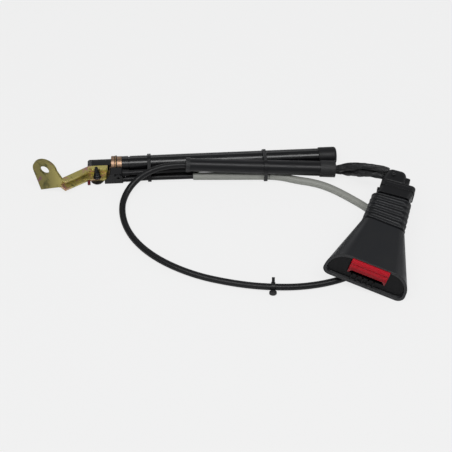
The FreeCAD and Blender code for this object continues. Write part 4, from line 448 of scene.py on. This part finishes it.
def cloth_tape():
    """Polyester cloth tape, wound in overlapping turns: a matt fabric with a step at each turn."""
    made, tree, shader, place = new_material("polyester_cloth_tape_wound")
    if tree is None:
        return made
    turns = add_node(tree, "ShaderNodeTexWave", {"Vector": place, "Scale": bands_per_mm(31.416),
                                                 "Distortion": 2.5, "Detail": 2},
                     bands_direction="X", wave_profile="SAW")
    weave = add_node(tree, "ShaderNodeTexNoise", {"Vector": place, "Scale": per_mm(0.5), "Detail": 2})
    height = add_node(tree, "ShaderNodeMath", {0: turns.outputs["Fac"], 1: weave.outputs["Fac"]},
                      operation="ADD")
    shader.inputs["Base Color"].default_value = (*settings().finish.tape, 1)
    shader.inputs["Roughness"].default_value = 0.45
    finish_bump(tree, shader, height.outputs["Value"], 0.35)
    return made


def button_plastic():
    """ABS from a polished tool: a signal red with painted light and shade by height, darker at its foot, a
    painted dark line at the finger step and a painted highlight at its top bevel.
    """
    made, tree, shader, place = new_material("abs_gloss_red_painted_light")
    if tree is None:
        return made
    red = Vector(settings().finish.button)
    up = BUCKLE_TURN @ Vector((0, 0, 1))
    height = add_node(tree, "ShaderNodeVectorMath", {0: place, 1: up}, operation="DOT_PRODUCT")
    foot = BUCKLE_ORIGIN.dot(up) + BUTTON_FOOT
    share = add_node(tree, "ShaderNodeMapRange", {"Value": height.outputs["Value"], "From Min": foot,
                                                  "From Max": foot + BUTTON_HEIGHT})
    tone = add_node(tree, "ShaderNodeValToRGB", {"Fac": share.outputs["Result"]})
    # Painted light and shade: the red is darkened at the button's foot and in a thin band at the finger step,
    # and lightened at its top bevel.
    set_stops(tone, [(0.1, red * 0.4), (0.42, red * 0.6), (0.5, red * 0.95), (0.62, red * 0.95),
                     (0.66, red * 0.45), (0.74, red * 0.9), (0.9, red * 1.1)])
    tree.links.new(tone.outputs["Color"], shader.inputs["Base Color"])
    shader.inputs["Roughness"].default_value = 0.25
    shader.inputs["Specular IOR Level"].default_value = 0.22
    return made


def plated_steel(name, roughness):
    """Pressed or turned steel, bright zinc plated: a cool metal with fine rolling marks."""
    made, tree, shader, place = new_material(name)
    if tree is None:
        return made
    stretched = add_node(tree, "ShaderNodeMapping", {"Vector": place, "Scale": (1, 8, 1)})
    marks = add_node(tree, "ShaderNodeTexNoise", {"Vector": stretched.outputs["Vector"], "Scale": per_mm(2),
                                                  "Detail": 4})
    rough = add_node(tree, "ShaderNodeMapRange", {"Value": marks.outputs["Fac"], "To Min": roughness - 0.1,
                                                  "To Max": roughness + 0.15})
    tree.links.new(rough.outputs["Result"], shader.inputs["Roughness"])
    shader.inputs["Base Color"].default_value = (*settings().finish.steel, 1)
    shader.inputs["Metallic"].default_value = 1.0
    finish_bump(tree, shader, marks.outputs["Fac"], 0.01)
    return made


def dress(names, material):
    """Gives CAD nodes a material, keeping their shape."""
    for name in names:
        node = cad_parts[name]
        node.data.materials.clear()
        node.data.materials.append(material)


def mesh_object(name, points, faces, material, smooth=True):
    """A new mesh piece from points and faces."""
    mesh = bpy.data.meshes.new(name)
    mesh.from_pydata(points, [], faces)
    mesh.validate()
    mesh.materials.append(material)
    for face in mesh.polygons:
        face.use_smooth = smooth
    made = bpy.data.objects.new(name, mesh)
    bpy.context.scene.collection.objects.link(made)
    return made


def nurbs_cord(name, points, diameter, material):
    """A round cord on a smooth line through its route."""
    curve = bpy.data.curves.new(name, "CURVE")
    curve.dimensions = "3D"
    spline = curve.splines.new("NURBS")
    spline.points.add(len(points) - 1)
    for control, point in zip(spline.points, points):
        control.co = (*point, 1)
    spline.order_u = 3
    spline.use_endpoint_u = True
    spline.resolution_u = 16
    curve.bevel_depth = diameter / 2
    curve.bevel_resolution = 6
    curve.use_fill_caps = True
    curve.materials.append(material)
    made = bpy.data.objects.new(name, curve)
    bpy.context.scene.collection.objects.link(made)
    return made


def ring_faces(rings, count, closed):
    """Faces between rings of points: a closed skin, or a tube whose two ends are capped."""
    faces = []
    for i in range(rings if closed else rings - 1):
        for j in range(count):
            k = (j + 1) % count
            after = (i + 1) % rings
            faces.append((i * count + j, i * count + k, after * count + k, after * count + j))
    if not closed:
        faces.append(tuple(range(count))[::-1])
        faces.append(tuple((rings - 1) * count + j for j in range(count)))
    return faces


def smooth_line(points, steps):
    """Points evenly along a smooth line through a route, with the line's direction at each."""
    line = []
    last = len(points) - 1
    for i in range(steps + 1):
        along = last * i / steps
        k = min(int(along), last - 1)
        t = along - k
        a, b = Vector(points[max(k - 1, 0)]), Vector(points[k])
        c, d = Vector(points[k + 1]), Vector(points[min(k + 2, last)])
        place = 0.5 * (2 * b + (c - a) * t + (2 * a - 5 * b + 4 * c - d) * t ** 2
                       + (3 * b - a - 3 * c + d) * t ** 3)
        way = 0.5 * ((c - a) + 2 * (2 * a - 5 * b + 4 * c - d) * t + 3 * (3 * b - a - 3 * c + d) * t ** 2)
        line.append((place, way.normalized()))
    return line


def wrapped_strand(name, points, radius, material, lap, seed):
    """A strand wound with tape: each turn laps the one before it, and the bundle under it is uneven."""
    steps, count = 150, 28
    end_share, end_steps = 0.55, 5
    line = smooth_line(points, steps)
    length = sum((b[0] - a[0]).length for a, b in zip(line, line[1:]))
    rings = []
    for i, (place, way) in enumerate(line):
        side = way.cross(Vector((0, 0, 1))).normalized()
        up = side.cross(way)
        along = length * i / steps
        end = min(1.0, end_share + (1 - end_share) * min(i, steps - i) / end_steps)
        for j in range(count):
            angle = 2 * math.pi * j / count
            turn = (along / lap - angle / (2 * math.pi)) % 1.0
            coarse = math.sin(along * COARSE_WAVE + seed) * COARSE_LUMP
            fine = math.sin(along * FINE_WAVE + 2 * angle + seed * 2) * FINE_LUMP
            reach = radius * end * (1 + LAP_STEP * turn + coarse + fine)
            rings.append(place + (side * math.cos(angle) + up * math.sin(angle)) * reach)
    made = mesh_object(name, rings, ring_faces(steps + 1, count, False), material)
    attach(made, "anchor")
    return made


def rounded_ring(width, depth, radius, count=80):
    """Points of a rounded rectangle, evenly round it, in the plane of x and z."""
    a, b = width / 2, depth / 2
    radius = min(radius, a, b)
    flat_x, flat_z = 2 * (a - radius), 2 * (b - radius)
    arc = math.pi * radius / 2
    spans = [flat_x, arc, flat_z, arc, flat_x, arc, flat_z, arc]
    total = sum(spans)
    ring = []
    for i in range(count):
        along = total * i / count
        side = 0
        while along > spans[side]:
            along -= spans[side]
            side += 1
        corner = ((a - radius, -b + radius), (a - radius, b - radius), (-a + radius, b - radius),
                  (-a + radius, -b + radius))[side // 2]
        start = math.radians(-90 + 90 * (side // 2))
        if side % 2:
            angle = start + along / radius
            ring.append((corner[0] + radius * math.cos(angle), corner[1] + radius * math.sin(angle)))
        else:
            direction = (math.cos(start + math.pi / 2), math.sin(start + math.pi / 2))
            back = spans[side] - along
            edge = (corner[0] + radius * math.cos(start), corner[1] + radius * math.sin(start))
            ring.append((edge[0] - direction[0] * back, edge[1] - direction[1] * back))
    return ring


class STAGE_OT_pretensioner(bpy.types.Operator):
    """Camera, floor, soft lights and world"""
    bl_idname = "pretensioner.stage"
    bl_label = "Stage"

    def execute(self, context):
        stage = settings().stage
        back = Vector((
            -math.sin(stage.turn) * math.cos(stage.elevation),
            -math.cos(stage.turn) * math.cos(stage.elevation),
            math.sin(stage.elevation),
        ))
        lens = bpy.data.cameras.new("camera")
        lens.lens = stage.lens
        lens.sensor_width = 36
        lens.clip_start = 0.05
        camera = bpy.data.objects.new("camera", lens)
        camera.location = CAMERA_TARGET + back * stage.distance
        camera.rotation_mode = "QUATERNION"
        camera.rotation_quaternion = (-back).to_track_quat("-Z", "Y")
        context.scene.collection.objects.link(camera)
        context.scene.camera = camera

        pale = (*stage.floor, 1)
        paper, tree, shader, place = new_material("matt_paper_backdrop")
        shader.inputs["Base Color"].default_value = pale
        shader.inputs["Roughness"].default_value = 0.9
        fibre = add_node(tree, "ShaderNodeTexNoise", {"Vector": place, "Scale": per_mm(30), "Detail": 2})
        finish_bump(tree, shader, fibre.outputs["Fac"], 0.02)
        light_path = add_node(tree, "ShaderNodeLightPath")
        glow = add_node(tree, "ShaderNodeEmission", {"Color": pale, "Strength": 1.0})
        share = add_node(tree, "ShaderNodeMath", {0: light_path.outputs["Is Camera Ray"], 1: 0.9},
                         operation="MULTIPLY")
        mixed = add_node(tree, "ShaderNodeMixShader", {0: share.outputs["Value"], 1: shader.outputs["BSDF"],
                                                       2: glow.outputs["Emission"]})
        tree.links.new(mixed.outputs["Shader"], tree.nodes["Material Output"].inputs["Surface"])
        corners = [(x * FLOOR_HALF, y * FLOOR_HALF, 0) for x, y in ((-1, -1), (1, -1), (1, 1), (-1, 1))]
        floor = mesh_object("floor", corners, [(0, 1, 2, 3)], paper, False)

        for name, place, size, power in (
            ("soft_box_overhead", (0.0, -0.42, 1.2), (1.6, 0.4), stage.key),
            ("soft_box_front", (-0.6, -1.3, 0.7), (0.8, 0.8), stage.fill),
            ("soft_box_right", (1.2, 0.1, 0.7), (0.6, 0.6), stage.fill),
            ("soft_box_behind", (-0.2, 1.3, 0.8), (1.0, 0.5), stage.fill),
        ):
            light = bpy.data.lights.new(name, "AREA")
            light.shape = "RECTANGLE"
            light.size, light.size_y = size
            light.energy = power
            lamp = bpy.data.objects.new(name, light)
            lamp.location = place
            lamp.rotation_mode = "QUATERNION"
            lamp.rotation_quaternion = (-Vector(place)).to_track_quat("-Z", "Y")
            context.scene.collection.objects.link(lamp)

        world = bpy.data.worlds.new("studio")
        world.use_nodes = True
        tree = world.node_tree
        light_path = add_node(tree, "ShaderNodeLightPath")
        seen = add_node(tree, "ShaderNodeMath", {0: light_path.outputs["Is Camera Ray"],
                                                 1: light_path.outputs["Is Transmission Ray"]},
                        operation="MAXIMUM")
        soft = add_node(tree, "ShaderNodeBackground", {"Color": (0.9, 0.92, 0.95, 1), "Strength": 0.3})
        bright = add_node(tree, "ShaderNodeBackground", {"Color": pale, "Strength": 1.0})
        mixed = add_node(tree, "ShaderNodeMixShader", {0: seen.outputs["Value"],
                                                       1: soft.outputs["Background"],
                                                       2: bright.outputs["Background"]})
        tree.links.new(mixed.outputs["Shader"], tree.nodes["World Output"].inputs["Surface"])
        context.scene.world = world
        context.scene.view_settings.view_transform = "Standard"
        return {"FINISHED"}


class CORDS_OT_pretensioner(bpy.types.Operator):
    """Grey conduit and black lead that lie free on the bench"""
    bl_idname = "pretensioner.cords"
    bl_label = "Free cords"

    def execute(self, context):
        sizes = settings().cords
        colours = settings().finish
        grey = extruded_jacket("polyamide_conduit_extruded", colours.conduit, 0.38)
        black = extruded_jacket("pvc_lead_jacket_extruded", colours.jacket, 0.38)
        conduit = nurbs_cord("conduit_line", CONDUIT_POINTS, sizes.conduit, grey)
        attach(conduit, "anchor")
        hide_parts("conduit_free")
        lead = nurbs_cord("loop_line", LOOP_POINTS, sizes.lead, black)
        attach(lead, "anchor")
        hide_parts("loop_lead")
        dress(["conduit_held"], grey)
        dress(["conduit_end"], cloth_tape())
        return {"FINISHED"}


class ANCHOR_OT_pretensioner(bpy.types.Operator):
    """Anchor bracket with its push-in clip"""
    bl_idname = "pretensioner.anchor"
    bl_label = "Anchor end"

    def execute(self, context):
        colours = settings().finish
        dress(["anchor_bracket"], chromated_steel())
        nylon = grained_moulding("polyamide_clip_moulded", colours.nylon, 0.42, 0.5, 0.01)
        dress(["fir_tree_clip"], nylon)
        dark_red = grained_moulding("polyamide_tab_dark_red", colours.button_dark, 0.4, 0.5, 0.01)
        dress(["clip_lock_tab"], dark_red)
        return {"FINISHED"}


class GENERATOR_OT_pretensioner(bpy.types.Operator):
    """Manifold, gas generator and the covers over them"""
    bl_idname = "pretensioner.generator"
    bl_label = "Generator end"

    def execute(self, context):
        colours = settings().finish
        moulding = grained_moulding("glass_filled_nylon_moulded", colours.moulding, 0.42, 0.5, 0.008)
        dress(["housing_cover", "housing_base", "guide_housing"], moulding)
        dress(["igniter_plug", "sheath_ferrule", "lead_gland"], moulding)
        dress(["manifold_block"], die_casting())
        dress(["crimp_ring"], turned_brass())
        dress(["gas_generator"], plated_steel("steel_can_drawn_bright", 0.25))
        jacket = extruded_jacket("pvc_lead_jacket_extruded", colours.jacket, 0.38)
        dress(["igniter_lead"], jacket)
        return {"FINISHED"}


class TUBE_OT_pretensioner(bpy.types.Operator):
    """Piston tube, its cap, and the piston with its rope"""
    bl_idname = "pretensioner.tube"
    bl_label = "Piston tube"

    def execute(self, context):
        colours = settings().finish
        dress(["piston_tube"], gloss_paint())
        cap = grained_moulding("polyethylene_cap_moulded", colours.moulding, 0.5, 0.6, 0.005)
        dress(["tube_end_cap"], cap)
        turned = plated_steel("steel_turned_bright", 0.25)
        dress(["piston", "rope_end_ferrule", "lock_balls"], turned)
        seal = grained_moulding("nitrile_seal_moulded", colours.rubber, 0.6, 0.5, 0.01)
        dress(["piston_seal"], seal)
        rope = plated_steel("steel_wire_rope_laid", 0.4)
        dress(["piston_rope", "rope_run", "buckle_rope"], rope)
        return {"FINISHED"}


class HARNESS_OT_pretensioner(bpy.types.Operator):
    """Sleeve, leads, rope sheath and cable ties along the tube"""
    bl_idname = "pretensioner.harness"
    bl_label = "Harness"

    def execute(self, context):
        colours = settings().finish
        tapes = settings().tapes
        jacket = extruded_jacket("pvc_lead_jacket_extruded", colours.jacket, 0.38)
        sleeve = grained_moulding("polyolefin_sleeve_shrunk", colours.sleeve, 0.36, 6.0, 0.06)
        cloth = cloth_tape()
        dress(["harness_sleeve"], sleeve)
        dress(["rope_sheath", "feed_lead"], jacket)
        dress(["sleeve_end_ring", "sleeve_end_tape", "switch_lead"], cloth)
        wrapped_strand("upper_strand_tape", UPPER_STRAND, tapes.upper, cloth, lap=0.009, seed=1.0)
        wrapped_strand("lower_strand_tape", LOWER_STRAND, tapes.lower, cloth, lap=0.010, seed=2.6)
        wire = wrapped_strand("switch_wire_line", WIRE_STRAND, tapes.wire, cloth, lap=0.007, seed=4.0)
        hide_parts("switch_wire")
        wrapped_strand("back_strand_tape", BACK_STRAND, tapes.back, cloth, lap=0.008, seed=5.0)
        nylon = grained_moulding("polyamide_tie_moulded", colours.nylon, 0.36, 0.8, 0.01)
        dress(["loop_tie"], nylon)
        for name in ("tie_left", "tie_right"):
            self.tie(name, nylon)
        return {"FINISHED"}

    def tie(self, name, nylon):
        """Cable tie drawn tight round the tube and the leads, with its small head at the back."""
        thick, edge = 0.0009, 0.0003
        head_wide, head_high = 0.0022, 0.0016
        low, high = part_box(name)
        corners = [v.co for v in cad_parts[name].data.vertices]
        band = [Vector((v.y, v.z)) for v in corners if low[0] + edge < v.x < high[0] - edge]
        around = [band[i] for i in convex_hull_2d(band)]
        around = [(a + b) / 2 for a, b in zip(around, around[1:] + around[:1]) if (a - b).length > 1e-6]
        middle = sum(around, Vector((0, 0))) / len(around)
        left, right = low[0] + 2 * edge, high[0] - 2 * edge
        count = len(around)
        rings = [[(x, *(p - (p - middle).normalized() * inset)) for p in around]
                 for x, inset in ((left, 0), (right, 0), (right, thick), (left, thick))]
        points = [p for ring in rings for p in ring]
        faces = ring_faces(4, count, True)
        back = Vector((1, -0.15))
        seat = max(around, key=lambda p: (p - middle).normalized().dot(back))
        out = (seat - middle).normalized()
        side = Vector((-out.y, out.x))
        first = count * 4
        for x in (left - edge, right + edge):
            for reach, wide in ((-thick, -1), (head_high, -1), (head_high, 1), (-thick, 1)):
                points.append((x, *(seat + out * reach + side * wide * head_wide)))
        faces += [tuple(first + i for i in face) for face in
                  ((0, 1, 2, 3), (7, 6, 5, 4), (0, 4, 5, 1), (1, 5, 6, 2), (2, 6, 7, 3), (3, 7, 4, 0))]
        strap = mesh_object(name + "_strap", points, faces, nylon, False)
        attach(strap, "anchor")
        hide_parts(name)


class BOOT_OT_pretensioner(bpy.types.Operator):
    """Guide elbow, folded bellows and flared boot"""
    bl_idname = "pretensioner.boot"
    bl_label = "Boot"

    def execute(self, context):
        colours = settings().finish
        rubber = grained_moulding("epdm_rubber_moulded", colours.rubber, 0.42, 0.6, 0.006, 0.7, 0.46)
        moulding = grained_moulding("glass_filled_nylon_moulded", colours.moulding, 0.42, 0.5, 0.008)
        dress(["buckle_cover"], rubber)
        dress(["guide_collar", "guide_elbow", "guide_rivet"], moulding)
        # Painted shade: the mouth's panel takes a darker black than the other mouldings, for the shade in the
        # recess.
        panel_painted_shade = grained_moulding("polypropylene_bezel_painted_shade", colours.bezel, 0.35, 0.6, 0.004, 0.3, 0.16)
        dress(["mouth_bezel"], panel_painted_shade)
        self.bellows(rubber)
        self.elbow(moulding)
        return {"FINISHED"}

    def bellows(self, rubber):
        """Corrugated shell from the flare to the guide's neck."""
        boot = settings().boot
        steps = boot.ribs * STEPS_IN_FOLD
        count = 96
        groove, wall = boot.groove * 1000, boot.wall * 1000
        rings = []
        for inset in (0, wall):
            skin = []
            for i in range(steps + 1):
                share = i / steps
                crest = (0.5 - 0.5 * math.cos(2 * math.pi * boot.ribs * share)) ** 4
                dip = inset + groove * (1 - crest)
                width, depth = (foot + (top - foot) * share - 2 * dip
                                for foot, top in zip(BELLOWS_FOOT_SIZE, BELLOWS_TOP_SIZE))
                middle = BELLOWS_FOOT_MIDDLE + (BELLOWS_TOP_MIDDLE - BELLOWS_FOOT_MIDDLE) * share
                ring = []
                for x, z in rounded_ring(width, depth, BELLOWS_CORNER - dip * 0.6, count):
                    across, up = twisted(x, z + middle, share)
                    ring.append((across, BELLOWS_FOOT + BELLOWS_LENGTH * share, up))
                skin.append(ring)
            rings += skin if not inset else skin[::-1]
        points = [in_buckle(*p) for ring in rings for p in ring]
        folds = mesh_object("bellows_folds", points, ring_faces(len(rings), count, True), rubber)
        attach(folds, "anchor")
        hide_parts("bellows_boot")
        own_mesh(folds)

    def elbow(self, moulding):
        """Domed elbow on its flange, with the catch at its right side, as heights over the flange's face."""
        flange = [(0.0, FLANGE_LOW), (0.4, FLANGE_WIDE), (2.4, FLANGE_WIDE), (2.8, FLANGE_LOW)]
        catch = [(4.4, CATCH_FOOT), (4.9, CATCH_LOW), (12.2, CATCH_HIGH), (12.9, CATCH_TOP)]
        dome, levels = [], 14
        for i in range(levels + 1):
            turn = i / levels * math.pi / 2
            pull = 1 - math.cos(turn) ** 0.5
            section = [foot + (top - foot) * pull for foot, top in zip(DOME_FOOT, DOME_TOP)]
            dome.append((DOME_START + DOME_RISE * math.sin(turn), section))
        points, faces = [], []
        count = 56
        for sections in (flange, dome, catch):
            first = len(points)
            for rise, (left, right, back, front, radius) in sections:
                middle = ((left + right) / 2, (back + front) / 2)
                for x, z in rounded_ring(right - left, front - back, radius, count):
                    points.append(in_guide(x + middle[0], GUIDE_TOP + rise, z + middle[1]))
            faces += [tuple(first + k for k in face) for face in ring_faces(len(sections), count, False)]
        shell = mesh_object("elbow_shell", points, faces, moulding)
        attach(shell, "anchor")
        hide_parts("guide_elbow")


class BUCKLE_OT_pretensioner(bpy.types.Operator):
    """Release button and the mechanism behind it"""
    bl_idname = "pretensioner.buckle"
    bl_label = "Buckle mechanism"

    def execute(self, context):
        colours = settings().finish
        dress(["release_button"], button_plastic())
        dress(["buckle_frame", "latch_lever"], plated_steel("sheet_steel_bright_zinc", 0.35))
        dress(["latch_pin", "rope_fitting"], plated_steel("steel_turned_bright", 0.25))
        dress(["button_springs", "ejector_springs"], plated_steel("spring_steel_drawn", 0.3))
        acetal = grained_moulding("acetal_moulded", colours.moulding, 0.4, 0.6, 0.01)
        dress(["ejector", "frame_tray"], acetal)
        return {"FINISHED"}


class VIEW3D_PT_pretensioner(bpy.types.Panel):
    """Lists the pieces of the pretensioner and their settings"""
    bl_label = "Buckle pretensioner"
    bl_space_type = "VIEW_3D"
    bl_region_type = "UI"
    bl_category = "Pretensioner"

    def draw(self, context):
        for operator in OPERATORS:
            self.layout.operator(operator.bl_idname)
        chosen = settings()
        for group in (chosen.finish, chosen.boot, chosen.cords, chosen.tapes, chosen.stage):
            column = self.layout.column(align=True)
            for name in group.__annotations__:
                column.prop(group, name)


GROUPS = (FinishSettings, BootSettings, CordSettings, TapeSettings, StageSettings, PretensionerSettings)
OPERATORS = (
    STAGE_OT_pretensioner, CORDS_OT_pretensioner, ANCHOR_OT_pretensioner, GENERATOR_OT_pretensioner,
    TUBE_OT_pretensioner, HARNESS_OT_pretensioner, BOOT_OT_pretensioner, BUCKLE_OT_pretensioner,
)


def register():
    for one in (*GROUPS, *OPERATORS, VIEW3D_PT_pretensioner):
        bpy.utils.register_class(one)
    bpy.types.Scene.pretensioner = PointerProperty(type=PretensionerSettings)


def unregister():
    del bpy.types.Scene.pretensioner
    for one in reversed((*GROUPS, *OPERATORS, VIEW3D_PT_pretensioner)):
        bpy.utils.unregister_class(one)


def main():
    register()
    bpy.ops.pretensioner.stage()
    bpy.ops.pretensioner.cords()
    bpy.ops.pretensioner.anchor()
    bpy.ops.pretensioner.generator()
    bpy.ops.pretensioner.tube()
    bpy.ops.pretensioner.harness()
    bpy.ops.pretensioner.boot()
    bpy.ops.pretensioner.buckle()


if __name__ == "__main__":
    main()
